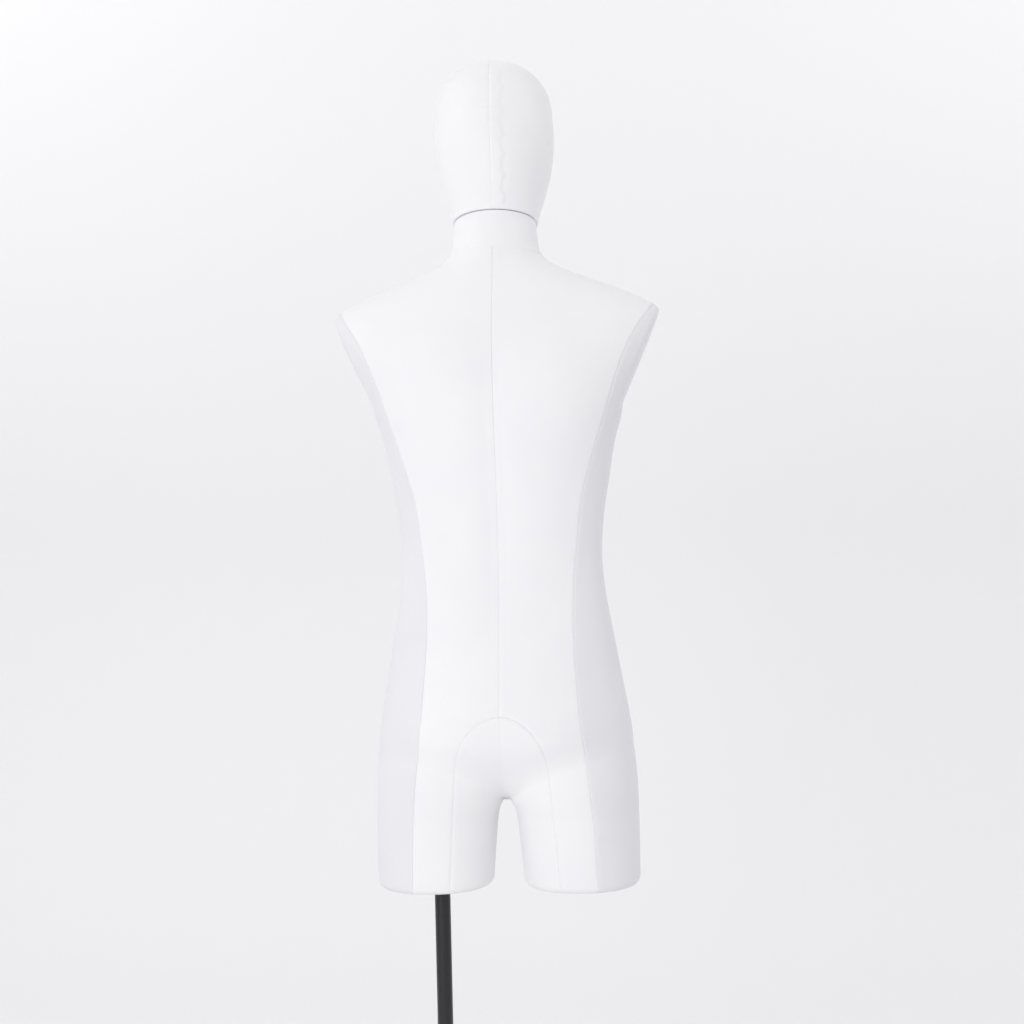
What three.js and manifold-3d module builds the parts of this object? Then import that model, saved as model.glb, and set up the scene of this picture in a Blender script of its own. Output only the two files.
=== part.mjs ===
// A male torso form for clothes on a round stand: a hollow moulded body with two thigh stumps,
// covered in stretch fabric sewn from panels, with a smooth egg head that turns on the neck.
// Millimetres, +Z up. The origin is on the floor, on the axis of the pole. -Y is the body's back.
import * as THREE from 'three';
import { mergeVertices } from 'three/addons/utils/BufferGeometryUtils.js';
import Module from 'manifold-3d';

const wasm = await Module();
wasm.setup();

// ---- driving dimensions ----
const BODY_X = 95;            // middle of the body, beside the pole that enters one thigh
const LEG_END_Z = 700;        // underside of the thigh stumps
const CROTCH_Z = 823;
const KEEL_TOP_Z = 885;       // below this the trunk draws in to the crotch
const KEEL_KEEPS = 0.75;      // share of its width that the keel keeps
const ARMPIT_Z = 1312;
const LEG_SQUARENESS = 2.2;
const HEAD_SQUARENESS = 2.08;
const COVER = 1.6;            // fabric with its thin lining
const SHELL_WALL = 4;
const GAP = 0.4;              // clearance between neighbouring solids
const SEAM_GAP = 0.4;
const LEG_RIM_R = 10;         // rounding of the thigh's lower edge
const BODY_SIDES = 24;
const LEG_SIDES = 14;
const HEAD_SIDES = 20;

const NECK_TILT = 11 * Math.PI / 180;   // lean of the head joint, towards the front
const JOINT_Y = 11;                     // where the neck's axis crosses the head joint
const JOINT_Z = 1628;
const COLLAR_TILT = 6.5 * Math.PI / 180;
const COLLAR_Z = 1580;
const HEAD_GAP = 1.2;                   // dark line between head and neck

const POLE_R = 11;
const POLE_BORE_R = 9;
const POLE_TOP_Z = 800;
const POLE_BOTTOM_Z = 130;
const TUBE_R = 15;
const TUBE_BORE_R = 13;
const TUBE_TOP_Z = 430;
const BASE_R = 190;
const BASE_BOTTOM_Z = 3;
const BASE_TOP_Z = 11;
const SIDES = 16;             // facets round a turned part
const BOLT_SIDES = 20;
const BASE_SIDES = 40;
const DRILL_SIDES = 10;
const DRILL_OVER = 5;         // how far a drill goes beyond both faces
const REACH = 260;            // beyond the body on every side
const OVER_ALL_Z = 1700;

// ---- body outline: height, half width, depth behind and before the middle plane, squareness ----
const TRUNK = [
  [790, 183, 98, 95, 2.3],
  [868, 181, 117, 98, 2.35],
  [925, 175.6, 127, 97, 2.3],
  [990, 164.4, 116, 96, 2.3],
  [1057, 152.7, 95, 99, 2.3],
  [1110, 144, 84, 101, 2.3],
  [1162, 140.2, 80, 100, 2.3],
  [1215, 144, 84, 101, 2.35],
  [1267, 152.5, 93, 107, 2.4],
  [1330, 164.6, 107, 115, 2.5],
  [1390, 188, 115.5, 119.5, 2.5],
  [1440, 222, 113, 112, 2.4],
  [1480, 240, 100, 98, 2.3],
  [1505, 222, 88, 86, 2.2],
  [1527, 180, 77, 76, 2.1],
  [1549, 123, 68, 69, 2],
  [1565, 86, 62, 66, 2],
  [1580, 66, 57, 64, 2],
  [1604, 59.5, 53, 66, 2],
  [1640, 57, 46, 71, 2],
];
// The flat end face where an arm would start: it leans outwards from the armpit up.
const ARMHOLE = { x: 174, z: 1372, slope: 0.425, soft: 7 };
const LEG = [
  // height, half gap between the thighs, outer half width, depth behind, depth in front
  [700, 22, 183.5, 88, 88],
  [763, 17, 184, 93, 92],
  [805, 12, 183.8, 98, 95],
  [823, 4, 183.4, 101, 96],
  [850, -4, 182, 104, 94],
  [885, -10, 179, 98, 88],
  [905, -12, 172, 86, 78],
];
// ---- head outline, in the tilted frame of the head joint: height, half width, behind, in front ----
const HEAD = [
  [0, 60, 62, 66],
  [20, 63.5, 67, 82],
  [50, 72, 79, 97],
  [85, 80.5, 91, 103],
  [125, 84.5, 98, 101],
  [160, 82.5, 97, 93],
  [190, 73.5, 88, 77],
  [212, 58, 71, 55],
  [226, 37, 48, 29],
  [232, 18, 30, 10],
];
// ---- seams, seen square on: the side seam and the arched gusset seam ----
const SIDE_SEAM = [
  [690, 127], [800, 122], [903, 112], [1057, 100], [1150, 105], [1239, 116], [1330, 142],
  [1407, 166], [1470, 196], [1500, 216], [1525, 250], [1720, 250],
];
const GUSSET_SEAM = [[690, 78], [820, 70], [866, 64], [896, 58], [920, 47], [938, 31], [948, 3]];

const group = new THREE.Group();

// ---- curves and solids ----
const lerp = (a, b, t) => a + (b - a) * t;
const smooth = (t) => { const s = Math.min(1, Math.max(0, t)); return s * s * (3 - 2 * s); };
const bump = (value, middle, spread) => Math.exp(-(((value - middle) / spread) ** 2));

// Smooth curve through the stations of a table, one value per column.
function stationAt(table, z) {
  const last = table.length - 1;
  let i = 0;
  while (i < last - 1 && z > table[i + 1][0]) i += 1;
  const [before, from, to, after] = [Math.max(i - 1, 0), i, i + 1, Math.min(i + 2, last)]
    .map((k) => table[k]);
  const span = to[0] - from[0];
  const t = Math.min(1, Math.max(0, (z - from[0]) / span));
  return from.slice(1).map((value, k) => {
    const c = k + 1;
    const slope0 = (to[c] - before[c]) / (to[0] - before[0]) * span;
    const slope1 = (after[c] - from[c]) / (after[0] - from[0]) * span;
    const rise = to[c] - value;
    return value + t * (slope0 + t * (3 * rise - 2 * slope0 - slope1 + t * (slope0 + slope1 - 2 * rise)));
  });
}

// Distance from the section's middle to a superellipse, along an angle.
function ovalRadius(angle, halfWidth, behind, front, power) {
  const depth = Math.sin(angle) < 0 ? behind : front;
  const a = Math.abs(Math.cos(angle) / halfWidth) ** power;
  const b = Math.abs(Math.sin(angle) / depth) ** power;
  return (a + b) ** (-1 / power);
}

function softMin(a, b, soft) {
  const h = Math.min(1, Math.max(0, 0.5 + (b - a) / (2 * soft)));
  return lerp(b, a, h) - soft * h * (1 - h);
}

// Shoulder blades, spine, seat and chest, as small swellings of a section.
function relief(x, z, behind) {
  const side = Math.abs(x);
  if (!behind) {
    return 6 * bump(side, 78, 42) * bump(z, 1392, 55) - 3 * bump(x, 0, 20) * bump(z, 1380, 70);
  }
  const blade = 5 * bump(side, 88, 40) * bump(z, 1405, 60);
  const spine = -5 * bump(x, 0, 24) * smooth((z - 1020) / 90) * smooth((1500 - z) / 90);
  const seat = 7 * bump(side, 78, 50) * bump(z, 925, 50);
  const cleft = -9 * bump(x, 0, 18) * smooth((970 - z) / 110);
  return blade + spine + seat + cleft;
}

const neckMiddleY = (z, behind, front) => smooth((z - 1530) / 50) * (front - behind) / 2;

// One ring of the trunk at a height, drawn in by inset.
function trunkRing(z, inset, sides) {
  const [halfWidth, behind, front, power] = stationAt(TRUNK, z);
  const middleY = neckMiddleY(z, behind, front);
  const armhole = ARMHOLE.x + ARMHOLE.slope * Math.max(0, z - ARMHOLE.z);
  const points = [];
  for (let i = 0; i < sides; i += 1) {
    const angle = i / sides * 2 * Math.PI;
    let radius = ovalRadius(angle, halfWidth, behind + middleY, front - middleY, power);
    radius += relief(radius * Math.cos(angle), z, Math.sin(angle) < 0) * Math.abs(Math.sin(angle));
    const endFace = armhole / Math.max(0.05, Math.abs(Math.cos(angle)));
    if (z > ARMPIT_Z) radius = softMin(radius, endFace, ARMHOLE.soft);
    radius -= inset;
    points.push([radius * Math.cos(angle), middleY + radius * Math.sin(angle), z]);
  }
  return points;
}

// One ring of a thigh at a height.
function legRing(z, inset, side) {
  const [halfGap, outer, behind, front] = stationAt(LEG, z);
  const middleX = (halfGap + outer) / 2;
  const rise = Math.min(LEG_RIM_R, z - LEG_END_Z);
  const rim = rise < 0 ? 0 : LEG_RIM_R - Math.sqrt(LEG_RIM_R ** 2 - (LEG_RIM_R - rise) ** 2);
  const points = [];
  for (let i = 0; i < LEG_SIDES; i += 1) {
    const angle = i / LEG_SIDES * 2 * Math.PI;
    const radius = ovalRadius(angle, (outer - halfGap) / 2, behind, front, LEG_SQUARENESS) - rim - inset;
    points.push([side * middleX + radius * Math.cos(angle), radius * Math.sin(angle), z]);
  }
  return points;
}

// A closed solid through rings of equal counts, with flat ends.
function loft(rings) {
  const count = rings[0].length;
  const points = rings.flat();
  const triangles = [];
  for (let r = 0; r < rings.length - 1; r += 1) {
    for (let i = 0; i < count; i += 1) {
      const a = r * count + i;
      const b = r * count + (i + 1) % count;
      triangles.push(a, b, b + count, a, b + count, a + count);
    }
  }
  for (const [ring, turn] of [[0, 1], [rings.length - 1, -1]]) {
    const middle = points.length;
    const ends = rings[ring];
    points.push([0, 1, 2].map((k) => ends.reduce((sum, p) => sum + p[k], 0) / count));
    for (let i = 0; i < count; i += 1) {
      const a = ring * count + i;
      const b = ring * count + (i + 1) % count;
      triangles.push(...(turn > 0 ? [b, a, middle] : [a, b, middle]));
    }
  }
  return new wasm.Manifold(new wasm.Mesh({
    numProp: 3,
    vertProperties: new Float32Array(points.flat()),
    triVerts: new Uint32Array(triangles),
  }));
}

// A three.js geometry as a solid, moved by a matrix.
function solid(geometry, matrix = new THREE.Matrix4()) {
  const plain = geometry.clone().applyMatrix4(matrix);
  plain.deleteAttribute('normal');
  plain.deleteAttribute('uv');
  const merged = mergeVertices(plain, 1e-4);
  return new wasm.Manifold(new wasm.Mesh({
    numProp: 3,
    vertProperties: new Float32Array(merged.attributes.position.array),
    triVerts: new Uint32Array(merged.index.array),
  }));
}

// The largest body of a cut piece, without the slivers that two nearly equal faces leave.
function geometryOf(body) {
  const whole = body.decompose().sort((a, b) => b.volume() - a.volume())[0];
  const mesh = whole.getMesh();
  const geometry = new THREE.BufferGeometry();
  geometry.setAttribute('position', new THREE.BufferAttribute(mesh.vertProperties, 3));
  geometry.setIndex(new THREE.BufferAttribute(mesh.triVerts, 1));
  return geometry;
}

// A turned part: pairs of radius and height going round the section once.
function turned(profile, sides = SIDES) {
  const points = profile.map(([r, z]) => new THREE.Vector2(r, z));
  if (profile[0][0] > 0) points.push(points[0].clone());
  const geometry = new THREE.LatheGeometry(points, sides);
  return geometry.applyMatrix4(new THREE.Matrix4().makeRotationX(Math.PI / 2));
}

const ring = (outer, inner, low, high, sides) =>
  turned([[inner, low], [outer, low], [outer, high], [inner, high]], sides);
const disc = (radius, low, high, sides) =>
  turned([[0, low], [radius, low], [radius, high], [0, high]], sides);
const moved = (x, y, z) => new THREE.Matrix4().makeTranslation(x, y, z);
const block = (low, high) => solid(
  new THREE.BoxGeometry(high[0] - low[0], high[1] - low[1], high[2] - low[2]),
  moved((low[0] + high[0]) / 2, (low[1] + high[1]) / 2, (low[2] + high[2]) / 2),
);

// An outline in the XZ plane carried from one Y to another.
function curtain(outline, fromY, toY) {
  const shape = new THREE.Shape(outline.map(([x, z]) => new THREE.Vector2(x, z)));
  const geometry = new THREE.ExtrudeGeometry(shape, { depth: toY - fromY, bevelEnabled: false });
  const stand = new THREE.Matrix4().makeRotationX(Math.PI / 2);
  return solid(geometry, moved(0, toY, 0).multiply(stand));
}

// ---- finishes ----
const finish = (color, roughness, metalness) =>
  () => new THREE.MeshStandardMaterial({ color, roughness, metalness });
const whiteFabric = finish(0xf3f4f7, 0.9, 0);
const mouldedShell = finish(0xd8d4c8, 0.6, 0);
const blackSteel = finish(0x1c1d1f, 0.4, 0.6);
const brightSteel = finish(0xb8babd, 0.3, 1);
const blackNylon = finish(0x232325, 0.6, 0);
const board = finish(0x8a5a3c, 0.7, 0);
const felt = finish(0x3a3a3c, 0.95, 0);

function piece(name, geometry, material, parent = group) {
  const mesh = new THREE.Mesh(geometry, material());
  mesh.name = name;
  parent.add(mesh);
  return mesh;
}

// ---- body ----
const BODY = new THREE.Group();
BODY.position.x = BODY_X;
group.add(BODY);

const TRUNK_ROWS = [
  828, 845, 885, 925, 970, 1040, 1110, 1170, 1235, 1300, 1350, 1390, 1430, 1465, 1490, 1508,
  1524, 1540, 1555, 1568, 1582, 1655,
];

const LEG_ROWS = [LEG_END_Z + 3, 712, 780, 823, 850, 900];
const UNDERCUT = 6;           // how far the hollows are carried below the thighs
const SHELL_RISE = 1.5;       // the shell's edge stands above the fabric's

// The keel under the trunk: it narrows to the crotch like the bottom of a boat.
function keelRing(z, inset, sides) {
  const drop = (KEEL_TOP_Z - Math.min(z, KEEL_TOP_Z)) / (KEEL_TOP_Z - CROTCH_Z + 1);
  const share = Math.sqrt(1 - drop ** 2);
  return trunkRing(z, inset, sides).map(([x, y]) => [x * lerp(share, 1, KEEL_KEEPS), y * share, z]);
}

function bodySolid(inset, below, sides = BODY_SIDES, everyRow = 1) {
  const heights = TRUNK_ROWS.filter((z, i) => i % everyRow === 0 || i === TRUNK_ROWS.length - 1);
  const trunk = loft(heights.map((z) => keelRing(z, inset, sides)));
  const rows = below > 0
    ? [LEG_END_Z - below, ...LEG_ROWS]
    : [LEG_END_Z, ...LEG_ROWS];
  const legs = [-1, 1].map((side) => loft(rows.map((z) => legRing(z, inset, side))));
  return trunk.add(legs[0]).add(legs[1]);
}

// Everything above a plane that leans with the neck.
function aboveTilted(height, tilt, middleY) {
  const size = 2 * REACH;
  const box = new THREE.BoxGeometry(size, size, size).applyMatrix4(moved(0, 0, size / 2));
  const lean = new THREE.Matrix4().makeRotationX(-tilt);
  return solid(box, moved(0, middleY, height).multiply(lean));
}

function seamRegion(seam, offset) {
  const right = seam.map(([z, x]) => [x + offset, z]);
  const left = seam.map(([z, x]) => [-x - offset, z]).reverse();
  return [...right, ...left];
}

function buildBody() {
  const aboveJoint = aboveTilted(JOINT_Z, NECK_TILT, JOINT_Y);
  const outside = bodySolid(0, 0).subtract(aboveJoint);
  const underCover = bodySolid(COVER, UNDERCUT);
  const shellOutside = bodySolid(COVER + GAP, 0).subtract(aboveJoint);
  const shellInside = bodySolid(COVER + GAP + SHELL_WALL, UNDERCUT, BODY_SIDES / 2, 2);
  const skin = outside.subtract(underCover);
  const shellFloor = block([-REACH, -REACH, LEG_END_Z - UNDERCUT], [REACH, REACH, LEG_END_Z + SHELL_RISE]);
  piece('torso_shell', geometryOf(shellOutside.subtract(shellInside).subtract(shellFloor)),
    mouldedShell, BODY);

  const half = SEAM_GAP / 2;
  const middle = curtain(seamRegion(SIDE_SEAM, -half), -REACH, REACH);
  const outer = curtain(seamRegion(SIDE_SEAM, half), -REACH, REACH);
  const gusset = curtain(seamRegion(GUSSET_SEAM, -half), -REACH, REACH);
  const aboveGusset = curtain(seamRegion(GUSSET_SEAM, half), -REACH, REACH);
  const collar = aboveTilted(COLLAR_Z, COLLAR_TILT, 0);
  const collarOver = aboveTilted(COLLAR_Z + SEAM_GAP, COLLAR_TILT, 0);
  const low = LEG_END_Z - UNDERCUT;
  const rightHalf = block([half, -REACH, low], [REACH, REACH, OVER_ALL_Z]);
  const leftHalf = block([-REACH, -REACH, low], [-half, REACH, OVER_ALL_Z]);
  const behind = block([-REACH, -REACH, low], [REACH, -half, OVER_ALL_Z]);
  const ahead = block([-REACH, half, low], [REACH, REACH, OVER_ALL_Z]);

  const trunkSkin = skin.subtract(collar);
  const centre = trunkSkin.intersect(middle).subtract(aboveGusset);
  const flanks = trunkSkin.subtract(outer);
  const crotch = trunkSkin.intersect(gusset);
  for (const [side, keep] of [['left', leftHalf], ['right', rightHalf]]) {
    const middleHalf = centre.intersect(keep);
    piece(`back_panel_${side}`, geometryOf(middleHalf.intersect(behind)), whiteFabric, BODY);
    piece(`front_panel_${side}`, geometryOf(middleHalf.intersect(ahead)), whiteFabric, BODY);
    piece(`side_panel_${side}`, geometryOf(flanks.intersect(keep)), whiteFabric, BODY);
    piece(`gusset_${side}`, geometryOf(crotch.intersect(keep)), whiteFabric, BODY);
  }
  piece('neck_band', geometryOf(skin.intersect(collarOver)), whiteFabric, BODY);
}

// ---- legs: end plates, and the socket that takes the pole ----
const PLATE_LOW = LEG_END_Z + 3;
const PLATE_HIGH = LEG_END_Z + 12;
const SOCKET_R = 15;
const SOCKET_BORE_R = POLE_R + 0.5;
const FLANGE_R = 38;
const FLANGE_THICK = 2.4;
const SOCKET_SCREWS = 4;
const SOCKET_SCREW_CIRCLE_R = 27;
const SCREW_SIDES = 8;
const SOCKET_SCREW = { headR: 4.6, headHigh: 2.4, shankR: 2.5, length: 20 };

// A pan-head screw pointing up from the origin, head below.
function screwGeometry({ headR, headHigh, shankR, length }) {
  return turned([[0, -headHigh], [headR * 0.7, -headHigh], [headR, 0], [shankR, 0],
    [shankR, length - shankR], [0, length]], SCREW_SIDES);
}

// A plate with one round hole through it, between two heights.
function drilledAt(plate, radius, [x, y], low, high, sides = DRILL_SIDES) {
  return plate.subtract(solid(disc(radius, low - DRILL_OVER, high + DRILL_OVER, sides), moved(x, y, 0)));
}

const socketScrewPlaces = Array.from({ length: SOCKET_SCREWS }, (_, i) => {
  const angle = (i + 0.5) / SOCKET_SCREWS * 2 * Math.PI;
  return [SOCKET_SCREW_CIRCLE_R * Math.cos(angle), SOCKET_SCREW_CIRCLE_R * Math.sin(angle)];
});

function buildLegPlates() {
  const inset = COVER + GAP + SHELL_WALL + 0.6;
  for (const [side, sign] of [['left', -1], ['right', 1]]) {
    const outline = legRing(PLATE_LOW, inset, sign);
    let plate = loft([PLATE_LOW, PLATE_HIGH].map((z) => outline.map(([x, y]) => [x, y, z])));
    if (sign < 0) {
      plate = drilledAt(plate, SOCKET_R + GAP, [-BODY_X, 0], PLATE_LOW, PLATE_HIGH, SIDES);
      for (const [x, y] of socketScrewPlaces) {
        plate = drilledAt(plate, SOCKET_SCREW.shankR + 0.3, [x - BODY_X, y], PLATE_LOW, PLATE_HIGH);
      }
    }
    piece(`thigh_plate_${side}`, geometryOf(plate), board, BODY);
  }
}

function buildSocket() {
  const flangeTop = PLATE_LOW - GAP;
  const flangeLow = flangeTop - FLANGE_THICK;
  const bottomOfCup = POLE_TOP_Z + 12;
  const top = bottomOfCup + 4;
  let socket = solid(turned([[SOCKET_BORE_R, flangeLow], [FLANGE_R, flangeLow], [FLANGE_R, flangeTop],
    [SOCKET_R, flangeTop], [SOCKET_R, top], [0, top], [0, bottomOfCup], [SOCKET_BORE_R, bottomOfCup]]));
  for (const place of socketScrewPlaces) {
    socket = drilledAt(socket, SOCKET_SCREW.shankR + 0.3, place, flangeLow, flangeTop);
  }
  piece('pole_socket', geometryOf(socket), brightSteel);
  socketScrewPlaces.forEach(([x, y], i) => {
    const screw = piece(`socket_screw_${i + 1}`, screwGeometry(SOCKET_SCREW), brightSteel);
    screw.position.set(x, y, flangeLow - GAP);
  });
}

// ---- pole and stand ----
const CAP_DEEP = 26;
const CAP_RISE = 11.6;
const CAP_CHAMFER = 2.5;
const PLUG_DEEP = 16;
const PLUG_UP = 22;
const LEAD = 1.4;             // how much thinner the lead-in of a plug is than its bore

function buildPole() {
  piece('pole', ring(POLE_R, POLE_BORE_R, POLE_BOTTOM_Z, POLE_TOP_Z), blackSteel);
  const capRest = POLE_TOP_Z + GAP;
  const capTop = POLE_TOP_Z + CAP_RISE;
  piece('pole_cap', turned([[0, capRest - CAP_DEEP], [POLE_BORE_R - LEAD, capRest - CAP_DEEP],
    [POLE_BORE_R - GAP, capRest - CAP_DEEP + 3], [POLE_BORE_R - GAP, capRest], [POLE_R - 0.2, capRest],
    [POLE_R - 0.2, capTop - CAP_CHAMFER], [POLE_R - CAP_CHAMFER, capTop], [0, capTop]]), blackNylon);
  const plugTop = POLE_BOTTOM_Z - GAP;
  piece('pole_plug', turned([[0, plugTop - PLUG_DEEP], [TUBE_BORE_R - LEAD, plugTop - PLUG_DEEP],
    [TUBE_BORE_R - GAP, plugTop - PLUG_DEEP + 2], [TUBE_BORE_R - GAP, plugTop], [POLE_BORE_R - GAP, plugTop],
    [POLE_BORE_R - GAP, plugTop + PLUG_UP], [0, plugTop + PLUG_UP]]), blackNylon);
}

const COLLAR_LOW = TUBE_TOP_Z - 34;
const COLLAR_HIGH = TUBE_TOP_Z + 8;
const COLLAR_R = 23;
const COLLAR_CHAMFER = 3;
const BUSH_LOW = TUBE_TOP_Z - 36;
const BUSH_TOP = TUBE_TOP_Z + 4;
const GUIDE_R = POLE_R + 0.4;
const STUD_Z = TUBE_TOP_Z - 14;
const STUD_R = 4;
const STUD_END = COLLAR_R + 16;
const HOLE_END = COLLAR_R + 6;

// A round bar along +X at the height of the clamp stud.
function studSolid(radius, from, to) {
  const bar = new THREE.CylinderGeometry(radius, radius, to - from, SIDES);
  const lie = new THREE.Matrix4().makeRotationZ(Math.PI / 2);
  return solid(bar, moved((from + to) / 2, 0, STUD_Z).multiply(lie));
}

function buildTube() {
  const tube = solid(ring(TUBE_R, TUBE_BORE_R, BASE_TOP_Z + GAP, TUBE_TOP_Z));
  piece('outer_tube', geometryOf(tube.subtract(studSolid(STUD_R + 0.5, POLE_R, HOLE_END))), blackSteel);
  const bush = solid(turned([[GUIDE_R, BUSH_LOW], [TUBE_BORE_R - 0.3, BUSH_LOW],
    [TUBE_BORE_R - 0.3, TUBE_TOP_Z + GAP], [TUBE_R - 0.2, TUBE_TOP_Z + GAP], [TUBE_R - 0.2, BUSH_TOP],
    [GUIDE_R, BUSH_TOP]]));
  piece('guide_bush', geometryOf(bush.subtract(studSolid(STUD_R + 0.5, POLE_R - 2, COLLAR_R))), blackNylon);
  const collar = solid(turned([[TUBE_R + 0.3, COLLAR_LOW], [COLLAR_R - 2, COLLAR_LOW],
    [COLLAR_R, COLLAR_LOW + COLLAR_CHAMFER], [COLLAR_R, COLLAR_HIGH - COLLAR_CHAMFER],
    [COLLAR_R - COLLAR_CHAMFER, COLLAR_HIGH], [POLE_R + 0.8, COLLAR_HIGH], [POLE_R + 0.8, BUSH_TOP + GAP],
    [TUBE_R + 0.3, BUSH_TOP + GAP]]));
  piece('clamp_collar', geometryOf(collar.subtract(studSolid(STUD_R + 0.3, TUBE_R - 2, HOLE_END))), blackNylon);
  piece('clamp_stud', geometryOf(studSolid(STUD_R, GUIDE_R, STUD_END)), brightSteel);
  piece('clamp_knob', geometryOf(knobSolid()), blackNylon);
}

const BOLT_R = 5;
const BOLT_HEAD_R = 8.5;
const BOLT_HEAD_HIGH = 2.3;
const RECESS_R = 16;
const RECESS_Z = BASE_BOTTOM_Z + 5;
const WASHER_LOW = BASE_BOTTOM_Z + 3;
const INSERT_LOW = BASE_TOP_Z + 1;
const INSERT_HIGH = BASE_TOP_Z + 28;
const EDGE = 2.5;             // chamfer of the plate's upper edge

function buildBase() {
  piece('tube_insert', ring(TUBE_BORE_R - 0.3, BOLT_R + 0.3, INSERT_LOW, INSERT_HIGH), brightSteel);
  piece('base_plate', turned([[BOLT_R + 0.6, RECESS_Z], [RECESS_R, RECESS_Z], [RECESS_R, BASE_BOTTOM_Z],
    [BASE_R - 1, BASE_BOTTOM_Z], [BASE_R, BASE_BOTTOM_Z + 1], [BASE_R, BASE_TOP_Z - EDGE],
    [BASE_R - EDGE, BASE_TOP_Z], [BOLT_R + 0.6, BASE_TOP_Z]], BASE_SIDES), blackSteel);
  piece('base_washer', ring(14, BOLT_R + 0.5, WASHER_LOW, WASHER_LOW + 1.6), brightSteel);
  const headLow = BASE_BOTTOM_Z + 0.3;
  const headTop = headLow + BOLT_HEAD_HIGH;
  piece('base_bolt', turned([[0, headLow], [BOLT_HEAD_R, headLow], [BOLT_HEAD_R, headTop], [BOLT_R, headTop],
    [BOLT_R, BASE_TOP_Z + 20], [0, BASE_TOP_Z + 22]], BOLT_SIDES), brightSteel);
  piece('base_felt', disc(BASE_R - 6, 0, BASE_BOTTOM_Z - GAP, BASE_SIDES), felt);
}

// A six-lobed grip on a short neck, bored for the stud.
function knobSolid() {
  const gripR = 19;
  const lobes = 6;
  const lobeDepth = 2.2;
  const gripThick = 14;
  const steps = 48;
  const outline = Array.from({ length: steps }, (_, i) => {
    const angle = i / steps * 2 * Math.PI;
    const radius = gripR + lobeDepth * Math.cos(lobes * angle);
    return new THREE.Vector2(radius * Math.cos(angle), radius * Math.sin(angle));
  });
  const grip = new THREE.ExtrudeGeometry(new THREE.Shape(outline), { depth: gripThick, bevelEnabled: false });
  const stand = new THREE.Matrix4().makeRotationY(Math.PI / 2);
  const lie = new THREE.Matrix4().makeRotationZ(Math.PI / 2);
  const from = COLLAR_R + 5.6;
  const neck = new THREE.CylinderGeometry(9, 10, 6, BOLT_SIDES).applyMatrix4(lie);
  return solid(grip, moved(from, 0, STUD_Z).multiply(stand))
    .add(solid(neck, moved(from - 2, 0, STUD_Z)))
    .subtract(studSolid(STUD_R + 0.3, from - 10, STUD_END + GAP));
}

// ---- neck fittings and head, in a frame that leans with the neck ----
const HEAD_FRAME = new THREE.Group();
HEAD_FRAME.position.set(BODY_X, JOINT_Y, JOINT_Z);
HEAD_FRAME.rotation.x = -NECK_TILT;
group.add(HEAD_FRAME);

const NECK_PLATE_LOW = -11;
const NECK_PLATE_HIGH = -1.5;
const NECK_RING_THICK = 12;
const NECK_OVAL = { halfWidth: 57, behind: 60, front: 60 };
const HEAD_OVAL = { halfWidth: 60, behind: 62, front: 66 };
const BUSH_R = 13;
const BUSH_DEEP = 52;
const SPIGOT_R = 10;
const SPIGOT_DEEP = 48;
const PLATE_SCREWS = 3;
const PLATE_SCREW_CIRCLE_R = 31;
const PLATE_SCREW = { headR: 4, headHigh: 1.4, shankR: 2 };

function ovalRing(height, { halfWidth, behind, front }, inset, sides) {
  const middle = (front - behind) / 2;
  const depth = (front + behind) / 2;
  return Array.from({ length: sides }, (_, i) => {
    const angle = i / sides * 2 * Math.PI;
    const radius = ovalRadius(angle, halfWidth, depth, depth, HEAD_SQUARENESS) - inset;
    return [radius * Math.cos(angle), middle + radius * Math.sin(angle), height];
  });
}

// The egg, drawn in by inset; near the crown the wall is measured down as well as in.
function headSolid(inset, from) {
  const rows = [from, 20, 50, 85, 125, 160, 190, 212, 226, 232];
  return loft(rows.map((height) => {
    const [halfWidth, behind, front] = stationAt(HEAD, Math.max(height, 0));
    const lift = inset * smooth((height - 200) / 32);
    const drawIn = inset * (1 + smooth((height - 205) / 20));
    return ovalRing(height - lift, { halfWidth, behind, front }, drawIn, HEAD_SIDES);
  }));
}

const plateScrewPlaces = Array.from({ length: PLATE_SCREWS }, (_, i) => {
  const angle = (i / PLATE_SCREWS + 0.25) * 2 * Math.PI;
  return [PLATE_SCREW_CIRCLE_R * Math.cos(angle), PLATE_SCREW_CIRCLE_R * Math.sin(angle)];
});

function drilled(plate, low, high) {
  return plateScrewPlaces.reduce((body, place) =>
    drilledAt(body, PLATE_SCREW.shankR + 0.3, place, low, high), plate);
}

// An oval board with a middle hole and the screw holes.
function ovalBoard(name, oval, inset, holeR, low, high) {
  const plain = loft([low, high].map((h) => ovalRing(h, oval, inset, BODY_SIDES)));
  const bored = drilledAt(plain, holeR, [0, 0], low, high, SIDES);
  piece(name, geometryOf(drilled(bored, low, high)), board, HEAD_FRAME);
}

// Screws pointing down into a plate, their heads on a height.
function placePlateScrews(name, length, height) {
  plateScrewPlaces.forEach(([x, y], i) => {
    const screw = piece(`${name}_${i + 1}`, screwGeometry({ ...PLATE_SCREW, length }), brightSteel, HEAD_FRAME);
    screw.rotation.x = Math.PI;
    screw.position.set(x, y, height);
  });
}

function buildNeckFittings() {
  const inset = COVER + GAP + SHELL_WALL + 5;
  ovalBoard('neck_plate', NECK_OVAL, inset, BUSH_R + GAP, NECK_PLATE_LOW, NECK_PLATE_HIGH);
  const ringHigh = NECK_PLATE_LOW - GAP;
  ovalBoard('neck_ring', NECK_OVAL, inset + 1, BUSH_R + 10, ringHigh - NECK_RING_THICK, ringHigh);
  const seat = NECK_PLATE_HIGH + 0.3;
  piece('neck_bush', turned([[SPIGOT_R + GAP, -BUSH_DEEP], [BUSH_R, -BUSH_DEEP], [BUSH_R, seat],
    [BUSH_R + 3, seat], [BUSH_R + 3, 0.4], [SPIGOT_R + GAP, 0.4]]), blackNylon, HEAD_FRAME);
  placePlateScrews('neck_screw', 18, seat);
}

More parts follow.
